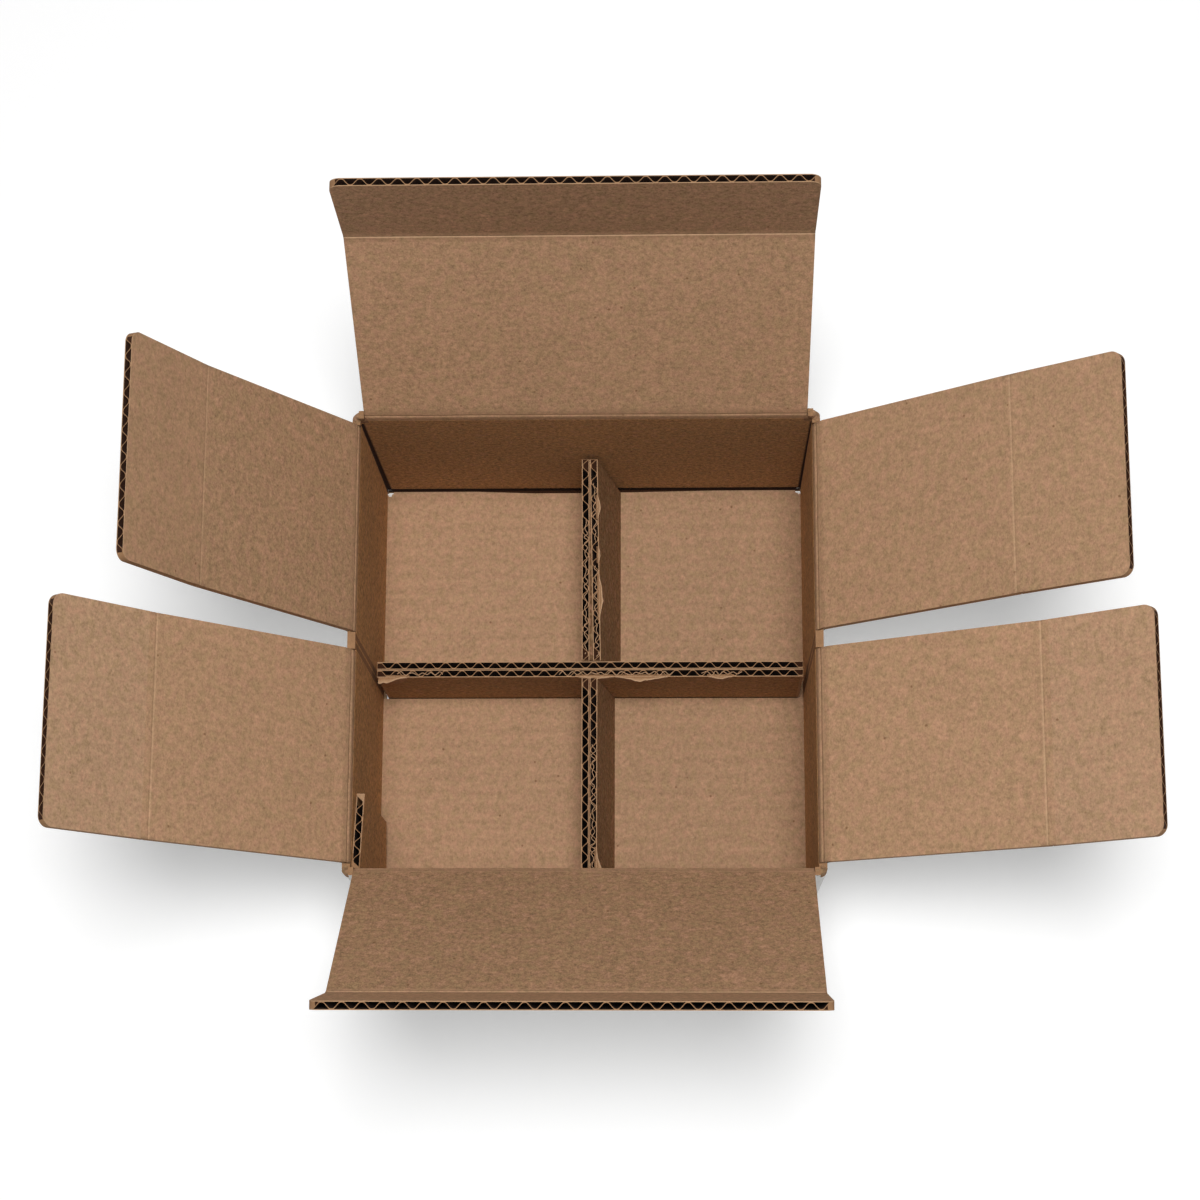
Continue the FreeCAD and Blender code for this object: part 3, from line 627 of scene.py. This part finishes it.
def open_boards(tree, spot, upright):
    """The hollows along the top edges of the divider and the tab, painted near-black as painted
    shade: the real ones' sides, and those that are drawn past them on the divider."""
    divider = below(tree, spot.near, BOARD + 0.2)
    along = choose(tree, spot.beside, spot.across, spot.through)
    along = choose(tree, spot.tabbed, along, spot.through)
    real = both(tree, between(tree, spot.depth, SEALED, BOARD - SEALED),
                above(tree, spot.z, STANDING), below(tree, upright, 0.4),
                below(tree, along, END_ON), either(tree, divider, spot.tabbed))
    middle = minus(tree, spot.depth, MID_BOARD)
    long = use(tree, OPEN, Along=spot.x, Middle=signed(tree, middle, spot.y), Past=LONG_FLUTES,
               End=LONG_END)["Hollow"]
    half_along = signed(tree, minus(tree, spot.end, HALF_MIDDLE), spot.y)
    half = use(tree, OPEN, Along=half_along, Middle=signed(tree, middle, spot.x),
               Past=HALF_FLUTES, End=HALF_END)["Hollow"]
    drawn = both(tree, choose(tree, spot.beside, long, half), divider,
                 above(tree, spot.look_up, SQUARE_ON), above(tree, spot.z, 40.0),
                 outside_of(tree, spot.tabbed))
    return either(tree, real, drawn)


def corner_crack_shade(tree, spot, upright):
    """Painted shade: dark lines in the inside corners, where shade gathers. They narrow upwards,
    and are wider on the left.
    """
    width = calc(tree, "MULTIPLY_ADD", spot.z, -0.006, choose(tree, spot.right, 2.0, 1.5))
    from_side = minus(tree, WALL_SIDE, spot.side)
    from_end = minus(tree, WALL_END, spot.end)
    inwards = minus(tree, width, calc(tree, "MAXIMUM", from_side, from_end))
    return both(tree, spread(tree, inwards, 0.0, 0.7, 0.0, 1.0), below(tree, upright, 0.5),
                between(tree, spot.z, 4.0, 103.0), above(tree, from_side, -0.15),
                above(tree, from_end, -0.15))


def floor_gap_shade(tree, spot):
    """The strip where the floor stops short of an end wall, painted near-black as painted shade.
    It is widest in the middle.
    """
    widest = choose(tree, spot.right, WALL_END - 1.5, WALL_END - 0.9)
    begins = spread(tree, spot.side, 14.0, 50.0, widest, WALL_END - 0.3)
    return both(tree, above(tree, spot.end, begins), below(tree, spot.end, WALL_END + 0.1),
                between(tree, spot.z, 2.0, FLOOR_TOP + 0.7), below(tree, spot.side, WALL_SIDE))


def torn_scraps(tree, spot):
    """The scraps of white liner in the rear floor corners: what is nearer to a corner than a
    ragged distance."""
    offset = add_node(tree, "ShaderNodeCombineXYZ", None,
                      X=minus(tree, spot.side, WALL_SIDE - 0.8),
                      Y=minus(tree, spot.y, WALL_END - 1.5), Z=minus(tree, spot.z, FLOOR_TOP - 0.7))
    ragged = calc(tree, "MULTIPLY_ADD", noise(tree, spot.place, 0.9, 2.0, 0.6), 2.4, 0.4)
    return below(tree, calc_vector(tree, "LENGTH", offset.outputs[0]), ragged)


def shell_material():
    """The standing box: white where a face looks out of it or down, brown inside with painted
    light and shade, and cut edges on the divider, the glue tab and the rim. The rim's are all of
    the medium's colour."""
    material, tree, shader = new_material("box_board")
    spot = shell_spot(tree)
    place = spot.place
    level = above(tree, spot.look_up, SQUARE_ON)
    upright = size_of(tree, spot.look_up)
    run = choose(tree, above(tree, spot.through, 0.5), spot.y, spot.x)
    paper = use(tree, PAPER, Place=place, Flutes=run,
                Banding=calc(tree, "MULTIPLY_ADD", level, 0.9, 0.3),
                Paper=inner_brown(tree, spot, level), Mottle=choose(tree, level, 2.0, 0.85))
    white = use(tree, WHITE, Place=place, Flutes=run, Banding=0.6)
    rim = above(tree, spot.z, 100.0)
    edge = use(tree, EDGE, Place=place, Depth=choose(tree, rim, spot.depth, MID_BOARD))
    inside = use(tree, HOLLOW_SHADE, Place=place)
    outside = white_faces(tree, spot)
    cut = both(tree, cut_faces(tree, spot), outside_of(tree, outside))
    # Painted shade: the flutes' hollows, the inside corners and the gap at the floor's ends are
    # painted near-black.
    dark = either(tree, open_boards(tree, spot, upright), corner_crack_shade(tree, spot, upright),
                  floor_gap_shade(tree, spot))
    finish_surface(tree, shader, [paper, white, edge, inside, white],
                   [outside, cut, dark, torn_scraps(tree, spot)])
    return material


def fold_material(name, white, brown=BROWN):
    """The paper over a fold, and a cut edge at its two ends. Along the crest the brown paper is
    painted paler, as stretched, rubbed paper and as a painted highlight, and the white liner is
    greyer where it is stretched thin."""
    material, tree, shader = new_material(name)
    place = surface_spot(tree)[1]
    crest, ends = (add_node(tree, "ShaderNodeAttribute", {"attribute_name": mark}).outputs["Fac"]
                   for mark in ("crest", "cut"))
    plain = {"Place": place, "Flutes": 0.0, "Banding": 0.0}
    paper = use(tree, WHITE, **plain) if white else use(tree, PAPER, Paper=brown, **plain)
    edge = use(tree, EDGE, Place=place, Depth=MID_BOARD)
    crest_noise = noise(tree, place, 0.5, 3.0, 0.6)
    share = calc(tree, "MULTIPLY", crest, spread(tree, crest_noise, 0.3, 0.7, 0.45, 0.8))
    finish_surface(tree, shader, [paper, edge], [ends])
    tint = shader.inputs["Base Color"].links[0].from_socket
    # The crest is painted paler on brown paper, as rubbed paper and as a painted highlight, and
    # greyer on the white liner.
    worn_and_lit = blend_colour(tree, share, tint, THIN_BLEACH if white else WORN_AND_LIT_BROWN)
    join(tree, shader.inputs["Base Color"], worn_and_lit)
    return material


# ---- the flaps' own directions ----------------------------------------------


def swung(axis, angle):
    """The way out of a panel and its inward normal, at an angle above the horizontal."""
    level = np.cross(UP, axis)
    out = level * math.cos(angle) + UP * math.sin(angle)
    return out, np.cross(axis, out)


def fold_facts(name):
    """For one flap: its axis, fold, crease, and the directions of flap and lip. A fold's upper
    limit is the closed flap, half a turn from level, and the lip closes square to it."""
    fold, crease = joints[name + "_fold"], joints[name + "_crease"]
    axis = np.array(fold["axis"], float)
    rise = math.radians(180.0 - fold["range_deg"][1])
    bend = math.radians(90.0 - crease["range_deg"][1])
    low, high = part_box(name + "_flap")
    width = abs(np.dot(np.array(high) - np.array(low), axis))
    return {"axis": axis, "fold": np.array(fold["pos_m"], float),
            "crease": np.array(crease["pos_m"], float), "width": width,
            "flap": swung(axis, rise), "lip": swung(axis, rise + bend)}


def cover(solid, material):
    """Gives one of the box's solids its only material."""
    slots = frame["nodes"][solid].data.materials
    slots.clear()
    slots.append(material)


FACTS = {name: fold_facts(name) for name in FLAPS}

for name, facts in FACTS.items():
    reach = np.linalg.norm(facts["crease"] - facts["fold"]) / MM
    for part, hinge, length in (("flap", "fold", reach), ("lip", "crease", 0)):
        panel = f"{name}_{part}"
        cover(panel, panel_material(panel, facts[hinge], facts["axis"], *facts[part], length,
                                    facts["width"] / MM))
cover("box_shell", shell_material())


# ---- paper over the folds ---------------------------------------------------

INNER_FOLD = fold_material("inner_fold_paper", False)
OUTER_FOLD = fold_material("outer_fold_paper", True)
# The corner rolls are painted a darker brown, as painted shade.
BUNCHED_SHADE = fold_material("bunched_board_shade", False, BUNCHED_SHADE_BROWN)
# The seam between the divider's plies is painted dark, as painted shade in the gap.
SHADED = fold_material("seam_board", False, SHADED_BROWN)

CURVE_POINTS = 29  # points across a fold's brown paper
OVER_PANEL = 4.3  # how far it reaches over each panel
UNDER_PANEL = 3.4  # and how far it comes back beneath


def unit(vectors):
    """Vectors made one long."""
    return vectors / np.linalg.norm(vectors, axis=-1, keepdims=True)


def cubic(knots, share):
    """A cubic curve from the first of four knots to the last, led by the two between: each
    knot times its share of the third power of t and 1 less t."""
    rest = 1 - share
    weights = (rest ** 3, 3 * share * rest ** 2, 3 * share ** 2 * rest, share ** 3)
    return sum(weight * knot for weight, knot in zip(weights, knots))


def tube_mesh(name, rings, crest, cut_sides=()):
    """A closed tube from an array of rings, stations by profile points by three. Each side face
    joins a point, the next on its ring, and the same two on the next ring; a fan closes each
    end. crest is a number for each profile point, and cut_sides are the profile points after
    which the side face is a cut edge. A negative volume turns the faces round."""
    stations, count = rings.shape[:2]
    points = np.concatenate([rings.reshape(-1, 3), rings[[0, -1]].mean(axis=1)])
    station, point = np.meshgrid(np.arange(stations - 1), np.arange(count), indexing="ij")
    after = (point + 1) % count
    sides = np.stack([station * count + point, station * count + after,
                      (station + 1) * count + after, (station + 1) * count + point], axis=-1)
    quads = sides.reshape(-1, 4)
    corner = np.arange(count)
    turn = (corner + 1) % count
    first, last, base = stations * count, stations * count + 1, (stations - 1) * count
    near = np.stack([np.full(count, first), turn, corner], axis=-1)
    far = np.stack([np.full(count, last), base + corner, base + turn], axis=-1)
    faces = quads.tolist() + near.tolist() + far.tolist()
    mesh = bpy.data.meshes.new(name)
    mesh.from_pydata(points.tolist(), [], faces)
    values = np.concatenate([np.tile(crest, stations), [0.0, 0.0]]).astype(np.float32)
    mesh.attributes.new("crest", "FLOAT", "POINT").data.foreach_set("value", values)
    cut = np.ones(len(faces), np.float32)
    cut[:len(quads)] = np.isin(point, cut_sides).ravel()
    mesh.attributes.new("cut", "FLOAT", "FACE").data.foreach_set("value", cut)
    mesh.polygons.foreach_set("use_smooth", np.arange(len(faces)) < len(quads))
    mesh.update()
    corners = points[np.concatenate([quads[:, :3], quads[:, [0, 2, 3]], near, far])]
    volumes = np.einsum("ij,ij->i", corners[:, 0], np.cross(corners[:, 1], corners[:, 2]))
    if volumes.sum() < 0:
        mesh.flip_normals()
    return mesh


def put_out(name, data, material=None):
    """Puts a mesh, a lamp or a camera into the scene, with its material if it has one."""
    if material:
        data.materials.append(material)
    placed = bpy.data.objects.new(name, data)
    bpy.context.scene.collection.objects.link(placed)
    return placed


def waver(along, seed, size, length):
    """A slow unevenness along a fold: four waves, each shorter and lower than the last, at
    starts picked by the seed."""
    starts = np.random.default_rng(seed).uniform(0, 2 * np.pi, 4)
    total = np.zeros_like(along)
    for number, start in enumerate(starts, 1):
        total += np.sin(along / length * number * 1.7 + start) / number
    return total * size / 2


def closer(count):
    """Numbers from 0 to 1, closer together about the middle: half of t times the root of its
    size, past a half, for even t from -1 to 1."""
    even = np.linspace(-1, 1, count)
    return 0.5 + 0.5 * even * np.sqrt(np.abs(even))


def inner_profile(parent, child, groove, lean):
    """The brown paper across a fold, in the plane across it. It leaves the parent's inner face,
    follows a cubic curve to the child's, and sinks towards the axis by groove, as a bell curve
    that lies lean past the middle. It comes back beneath both faces, just inside the axis."""
    (back, up), (out, rise) = parent, child
    face = BOARD - HALF_WEB
    share = closer(CURVE_POINTS)[:, None]
    curve = cubic([back * OVER_PANEL + up * (face - 0.06), back + up * (face + 0.12),
                   out + rise * (face + 0.12), out * OVER_PANEL + rise * (face - 0.06)], share)
    inwards = unit(up + rise)
    curve = curve - inwards * np.exp(-(((share - 0.5 - lean) / 0.05) ** 2)) * groove
    under = np.array([out * UNDER_PANEL + rise * 2.2, inwards * 0.35,
                      back * UNDER_PANEL + up * 2.2])
    return np.concatenate([curve, under])


def outer_profile(parent, child):
    """The white liner across a fold: along the parent's outer face, round the axis and along
    the child's, a hair proud of both in its middle and sunk in them at its ends. It comes
    back inside the board."""
    (back, up), (out, rise) = parent, child
    proud, sunk = HALF_WEB + 0.05, HALF_WEB - 0.05
    steps = (0.5, 1.2, 2.4)
    first = [back * 3.0 - up * sunk] + [back * step - up * proud for step in reversed(steps)]
    last = [out * step - rise * proud for step in steps] + [out * 3.0 - rise * sunk]
    inner = [out * 2.6 - rise * 0.1, out * 0.6 - rise * 0.05,
             back * 0.6 - up * 0.05, back * 2.6 - up * 0.1]
    return np.array([*first, -unit(up + rise) * proud, *last, *inner])


def wrap_fold(name, spot, axis, width, parent, child, bodies, seed, groove, bright, ridges):
    """The two papers over one fold, each a closed tube along it. bodies is not used.
    groove is how deep it is pressed in, bright how pale its ridges are painted, as rubbed paper
    and as a painted highlight, and ridges are how far past the middle each lies, in millimetres."""
    step, inset, ridge_width = 1.5, 0.05, 0.42
    length = width / MM
    stations = max(24, int(length / step))
    along = np.linspace(-length / 2 + inset, length / 2 - inset, stations)
    grooves = groove * (1 + waver(along, seed, 0.35, 9.0))
    leans = waver(along, seed + 7, 0.012, 30.0)
    inner = np.stack([inner_profile(parent, child, *pressed) for pressed in zip(grooves, leans)])
    outer = np.repeat(outer_profile(parent, child)[None], stations, axis=0)
    past = (closer(CURVE_POINTS) - 0.5) * 2 * OVER_PANEL
    # The ridges are painted paler, as rubbed paper and as a painted highlight.
    worn_and_lit = sum(bright * np.exp(-(((past - ridge) / ridge_width) ** 2)) for ridge in ridges)
    taut = np.exp(-((np.arange(9) - 4) / 1.2) ** 2)
    for face, rings, crest, material, reach in (("inner", inner, worn_and_lit, INNER_FOLD, 3.6),
                                                ("outer", outer, taut, OUTER_FOLD, 0.55)):
        title = f"{name}_{face}_paper"
        marks = np.concatenate([crest, np.zeros(rings.shape[1] - len(crest))])
        mesh = tube_mesh(title, (rings + along[:, None, None] * axis) * MM, marks)
        mesh.transform(Matrix.Translation(Vector(spot)))
        piece = put_out(title, mesh, material)
        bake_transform(piece)


# Each flap's fold and crease: how deep its groove is, and how pale its crest is painted, as
# rubbed paper and as a painted highlight.
PRESSED = {"back": (0.35, 1.0, 0.30, 1.0), "front": (0.40, 0.5, 0.35, 0.4),
           "rear_left": (0.35, 0.3, 0.10, 0.25), "front_left": (0.35, 0.3, 0.14, 0.35),
           "rear_right": (0.35, 0.4, 0.12, 0.4), "front_right": (0.35, 0.4, 0.16, 0.6)}

for number, (name, facts) in enumerate(FACTS.items()):
    span = facts["axis"], facts["width"]
    standing_wall = -UP, -np.cross(UP, facts["axis"])
    flap_out, flap_in = facts["flap"]
    fold_press, fold_paling, crease_press, crease_paling = PRESSED[name]
    wrap_fold(name + "_fold", facts["fold"], *span, standing_wall, facts["flap"],
              ("box", name + "_flap"), number * 10 + 1, fold_press, fold_paling,
              (0.5,) if name in ("back", "front") else (-0.9, 1.2))
    wrap_fold(name + "_crease", facts["crease"], *span, (-flap_out, flap_in), facts["lip"],
              (name + "_flap", name + "_lip"), number * 10 + 2, crease_press, crease_paling,
              (-0.3,))


# ---- crushed edges of the divider -------------------------------------------


def link_edge(name, rings, marks, cut_sides=(), material=INNER_FOLD):
    """Puts a closed tube of board edge into the scene, riding with the box."""
    piece = put_out(name, tube_mesh(name, rings * MM, marks, cut_sides), material)
    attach(piece, "box")


def bowed_liner(name, start, stop, away, bulge, deep, seed, flare=False):
    """A liner that bows out of a cut edge between start and stop, with the crushed flutes
    behind it. It stands out by bulge times the sine of half a turn, squared, which a flare
    takes only as far as its greatest, and fades with the square of the depth below the edge,
    down to deep. away is the level direction that it bows in."""
    thick, hair, step = 0.34, 0.06, 0.4
    start, stop, away = (np.array(given, float) for given in (start, stop, away))
    length = np.linalg.norm(stop - start)
    share = np.linspace(0.02, 0.98, max(16, int(length / step)))
    along = share * length
    arch = np.sin(np.pi * share * (0.5 if flare else 1.0)) ** 2
    stand = bulge * arch * (1 + waver(along, seed, 0.25, 2.6)) + hair
    base = start + share[:, None] * (stop - start)
    sides = [base + away * (stand * (1 - level) ** 2)[:, None] - UP * (level * deep)
             for level in (0.0, 0.12, 0.3, 0.55, 0.8, 1.0)]
    crown = 0.18 + waver(along, seed + 3, 0.25, 1.5) * 0.5
    sides[0] = sides[0] + UP * crown[:, None]
    lip = sides[0] - away * np.minimum(thick, stand)[:, None]
    trough = base + away * (stand[:, None] * 0.25) - UP * 0.25
    rear = base - away * 0.9
    rings = np.stack([*sides, rear - UP * (deep * 0.6), rear - UP * 0.3, trough, lip], axis=1)
    # Its top edges are painted paler, as rubbed paper and as a painted highlight.
    marks = np.zeros(10)
    marks[[0, 9]] = 0.8
    link_edge(name, rings, marks, (7, 8))


def pressed_seam(name, start, stop, gap, lift):
    """The two inner liners pressed together along the middle of the divider: a strip as wide as
    the gap, whose top is slightly round."""
    overlap, foot = 0.12, UP * 2.4
    share = np.linspace(0, 1, 60)[:, None]
    start, stop, across = (np.array(given, float) for given in (start, stop, ACROSS))
    base = start + share * (stop - start)
    half = across * ((gap[0] + share * (gap[1] - gap[0])) / 2 + overlap)
    shoulder = UP * (lift - 0.1)
    crown = base + waver(share[:, 0] * 80, 5, 0.12, 6.0)[:, None] * across + UP * lift
    rings = np.stack([base - half - foot, base - half + shoulder, crown,
                      base + half + shoulder, base + half - foot], axis=1)
    # Painted shade: the strip is painted dark brown.
    link_edge(name, rings, np.zeros(5), material=SHADED)


def loose_medium(name, start, stop, across, swing, seed):
    """A fluted medium that was pushed out of line where its edge was crushed: a standing ribbon
    between the two liners, which sways from the middle by swing and follows the medium's own
    pitch only loosely."""
    start, stop, across = (np.array(given, float) for given in (start, stop, across))
    length = np.linalg.norm(stop - start)
    step, wave_length, half_paper, furthest = 0.3, FLUTE * 0.62, 0.11, 0.95
    share = np.linspace(0, 1, int(length / step))
    along = share * length
    phase = along * 2 * np.pi / wave_length + waver(along, seed, 2.4, 9.0)
    offset = np.sin(phase) * swing * (0.7 + waver(along, seed + 1, 0.6, 5.0))
    offset = np.clip(offset, -furthest, furthest)
    path = start + share[:, None] * (stop - start) + offset[:, None] * across
    beside = np.cross(unit(np.gradient(path, axis=0)), UP) * half_paper
    height = (0.02 + waver(along, seed + 2, 0.12, 3.0))[:, None] * UP
    rings = np.stack([path - beside - UP, path - beside + height, path + beside + height,
                      path + beside - UP], axis=1)
    # Its top is painted paler, as rubbed paper and as a painted highlight.
    link_edge(name, rings, np.array([0.0, 0.55, 0.55, 0.0]))


def foot_fill(name, side, inner):
    """The board that closes the bottom beside the divider's foot: a level plate to the side
    wall, whose free edge wavers at inner from the middle."""
    half, count, low, high = 3.7, 24, 4.1, 4.9
    along = np.linspace(-half, half, count)
    free = inner + waver(along, 33, 0.3, 1.4)
    wall = np.full(count, WALL_SIDE + 0.2)
    rings = np.stack([np.stack([side * place, along, np.full(count, level)], axis=1)
                      for place, level in ((free, low), (free, high), (wall, high), (wall, low))],
                     axis=1)
    link_edge(name, rings, np.zeros(4))


def rear_top(y):
    """Height of the rear divider's sloping top edge."""
    return DIVIDER_TOP + (REAR_TOP - DIVIDER_TOP) * (y - HALVES_END) / REAR_RUN


def rear_gap(y):
    """Width of the gap that the lean leaves between the rear divider's two lips, at its top."""
    return 2 * PLY_GAP + (REAR_TOP - rear_top(y)) * math.tan(math.radians(REAR_LEAN))


def on_rear(y, past):
    """A point on the top edge of the rear divider's right lip, so far past its inner face."""
    return rear_gap(y) + past, y, rear_top(y)


def on_top(x, y):
    """A point on the level top edges."""
    return x, y, DIVIDER_TOP


NEAR_END, FAR_END = 3.6, 83.4  # ends of the seams, from the middle
LIP_FACE = -3.0  # y just within the outer face of the long lips in front

foot_fill("left_foot_fill", -1, 84.9)
foot_fill("right_foot_fill", 1, 84.1)
for number, (low, high, swing) in enumerate(((5.0, 41.0, 0.8), (50.0, 74.0, 0.7))):
    loose_medium(f"rear_divider_medium_{number}", on_rear(low, MID_BOARD),
                 on_rear(high, MID_BOARD), ACROSS, swing, 101 + number * 5)
loose_medium("rear_divider_medium_left", (-MID_BOARD, 6.0, rear_top(6.0)),
             (-MID_BOARD, 60.0, rear_top(60.0)), ACROSS, 0.7, 121)
loose_medium("front_divider_medium", on_top(MID_BOARD, -30.0), on_top(MID_BOARD, -80.0), ACROSS,
             0.8, 131)
for number, (low, high) in enumerate(((-12.0, 33.0), (44.0, 60.0), (-76.0, -58.0))):
    loose_medium(f"long_divider_medium_{number}", on_top(low, -1.6), on_top(high, -1.6),
                 BACKWARD, 0.8, 141 + number * 5)

rear_gaps = rear_gap(NEAR_END), rear_gap(FAR_END)
seam_ends = [(gap / 2 - PLY_GAP, y, rear_top(y)) for gap, y in zip(rear_gaps, (NEAR_END, FAR_END))]
pressed_seam("rear_divider_seam", *seam_ends, rear_gaps, -0.9)
pressed_seam("front_divider_seam", on_top(0.0, -FAR_END), on_top(0.0, -NEAR_END),
             (2 * PLY_GAP, 2 * PLY_GAP), 0.12)

for number, (low, high, bulge) in enumerate(((59.5, 69.5, 0.9), (19.0, 38.5, 1.3),
                                             (42.0, 49.0, 0.5))):
    bowed_liner(f"rear_divider_bow_{number}", on_rear(low, 2.85), on_rear(high, 2.85), ACROSS,
                bulge, 12, 40 + number * 5)
bowed_liner("front_divider_flare", on_top(3.0, -70.0), on_top(3.0, -FAR_END), ACROSS, 2.2, 16,
            61, True)
for number, (low, high, bulge) in enumerate(((-6.0, 11.0, 0.7), (9.0, 32.0, 1.8),
                                             (46.0, 57.0, 0.9))):
    bowed_liner(f"long_divider_bow_{number}", on_top(low, LIP_FACE), on_top(high, LIP_FACE),
                FORWARD, bulge, 14, 70 + number * 5)
bowed_liner("long_divider_flare", on_top(-71.0, LIP_FACE), on_top(-83.8, LIP_FACE), FORWARD, 2.6,
            18, 90, True)


def rolled_corner(name, side, end):
    """The bunched board at a corner of the rim: a thick bent tube from the end wall's fold to
    the side wall's, over the shell's own corners. Its middle line is a cubic curve led by four
    points, and its radius is a little greater at the bend, with creases that wind along it."""
    share = np.linspace(0, 1, 24)[:, None]
    knots = [np.array(knot, float) * (side, end, 1.0) for knot in
             ((84.6, 86.9, 108.7), (87.0, 87.1, 108.7), (87.5, 87.2, 105.6), (87.5, 84.3, 105.6))]
    path = cubic(knots, share)
    ahead = unit(np.gradient(path, axis=0))
    across = unit(np.cross(ahead, UP))
    over = np.cross(across, ahead)
    radius = (1.4 + 0.1 * np.sin(np.pi * share)) * (1 + waver(share * 7, 3, 0.1, 1.1))
    turn = np.linspace(0, 2 * np.pi, 20, endpoint=False)[None, :, None]
    crease = 1 + 0.1 * np.sin(turn * 3 + share[:, :, None] * 9) + waver(turn * 4, 8, 0.06, 1.0)
    rings = path[:, None] + radius[:, None] * crease * (
        across[:, None] * np.cos(turn) + over[:, None] * np.sin(turn) * 1.15)
    # It is painted a darker brown as painted shade, and paler along its upper side as a painted
    # highlight.
    link_edge(name, rings, 0.1 * np.clip(np.sin(turn[0, :, 0]), 0, 1), material=BUNCHED_SHADE)


for side, side_name in ((-1, "left"), (1, "right")):
    for end, end_name in ((-1, "front"), (1, "rear")):
        rolled_corner(f"{end_name}_{side_name}_corner_roll", side, end)


# ---- floor, light and camera ------------------------------------------------

PURE_WHITE = (1.0, 1.0, 1.0, 1.0)
FLOOR_WHITE = (0.80, 0.80, 0.80, 1.0)


def seen_directly(tree):
    """1 for rays that show a surface in the picture, and 0 for those that light others."""
    rays = tree.nodes.new("ShaderNodeLightPath").outputs
    return either(tree, rays["Is Camera Ray"], rays["Is Glossy Ray"], rays["Is Transmission Ray"])


def plain_floor():
    """A wide white floor, just under the box. Seen directly it is lifted to white, further from
    the object the more so, and it keeps the shadow."""
    half = 4.0
    mesh = bpy.data.meshes.new("floor")
    corners = [(-half, -half, 0), (half, -half, 0), (half, half, 0), (-half, half, 0)]
    mesh.from_pydata(corners, [], [(0, 1, 2, 3)])
    material = bpy.data.materials.new("floor_white")
    material.use_nodes = True
    tree = material.node_tree
    tree.nodes.remove(tree.nodes["Principled BSDF"])
    matte = add_node(tree, "ShaderNodeBsdfDiffuse", None, Color=FLOOR_WHITE)
    away = calc_vector(tree, "LENGTH", tree.nodes.new("ShaderNodeTexCoord").outputs["Object"])
    glow = add_node(tree, "ShaderNodeEmission", None, Color=PURE_WHITE,
                    Strength=spread(tree, away, 0.5, 1.6, 0.26, 1.0))
    total = tree.nodes.new("ShaderNodeAddShader")
    join(tree, total.inputs[0], matte.outputs[0])
    join(tree, total.inputs[1], glow.outputs[0])
    lift = tree.nodes.new("ShaderNodeMixShader")
    for number, given in enumerate((seen_directly(tree), matte.outputs[0], total.outputs[0])):
        join(tree, lift.inputs[number], given)
    join(tree, tree.nodes["Material Output"].inputs["Surface"], lift.outputs[0])
    floor = put_out("floor", mesh, material)
    floor.location.z = -0.2 * MM
    floor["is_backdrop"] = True


def soft_lamp(name, place, aim, size, power):
    """A square lamp that looks at a point."""
    lamp = bpy.data.lights.new(name, "AREA")
    lamp.shape = "SQUARE"
    lamp.size = size
    lamp.energy = power
    holder = put_out(name, lamp)
    holder.location = place
    holder.rotation_euler = (Vector(aim) - Vector(place)).to_track_quat("-Z", "Y").to_euler()


def soft_sky():
    """Even grey light from all round, and white where it is seen."""
    world = bpy.data.worlds.new("studio")
    bpy.context.scene.world = world
    world.use_nodes = True
    tree = world.node_tree
    sky = tree.nodes["Background"].inputs
    join(tree, sky["Color"], PURE_WHITE)
    join(tree, sky["Strength"], spread(tree, seen_directly(tree), 0.0, 1.0, 0.15, 1.0))


def look_down():
    """The camera: above the box and a little in front of it. It is tilted about a level line
    that is itself turned, and its frame is shifted by a share of the frame's width."""
    lens = bpy.data.cameras.new("view")
    lens.sensor_width = 36.0
    lens.lens = 80.51
    lens.shift_x, lens.shift_y = 0.01356, -0.0125
    lens.clip_start = 0.05
    place = (0.03375, -0.20559, 1.08737)
    heading, tilt, roll = (math.radians(angle) for angle in (8.591, 13.151, -8.589))
    turn = (Matrix.Rotation(heading, 4, "Z") @ Matrix.Rotation(tilt, 4, "X")
            @ Matrix.Rotation(roll, 4, "Z"))
    holder = put_out("view", lens)
    holder.matrix_world = Matrix.Translation(place) @ turn
    bpy.context.scene.camera = holder


plain_floor()
soft_sky()
soft_lamp("key", (0.06, -0.08, 2.0), (0, 0, 0.1), 0.55, 34)
look_down()
bpy.context.scene.view_settings.view_transform = "Standard"

low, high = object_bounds()
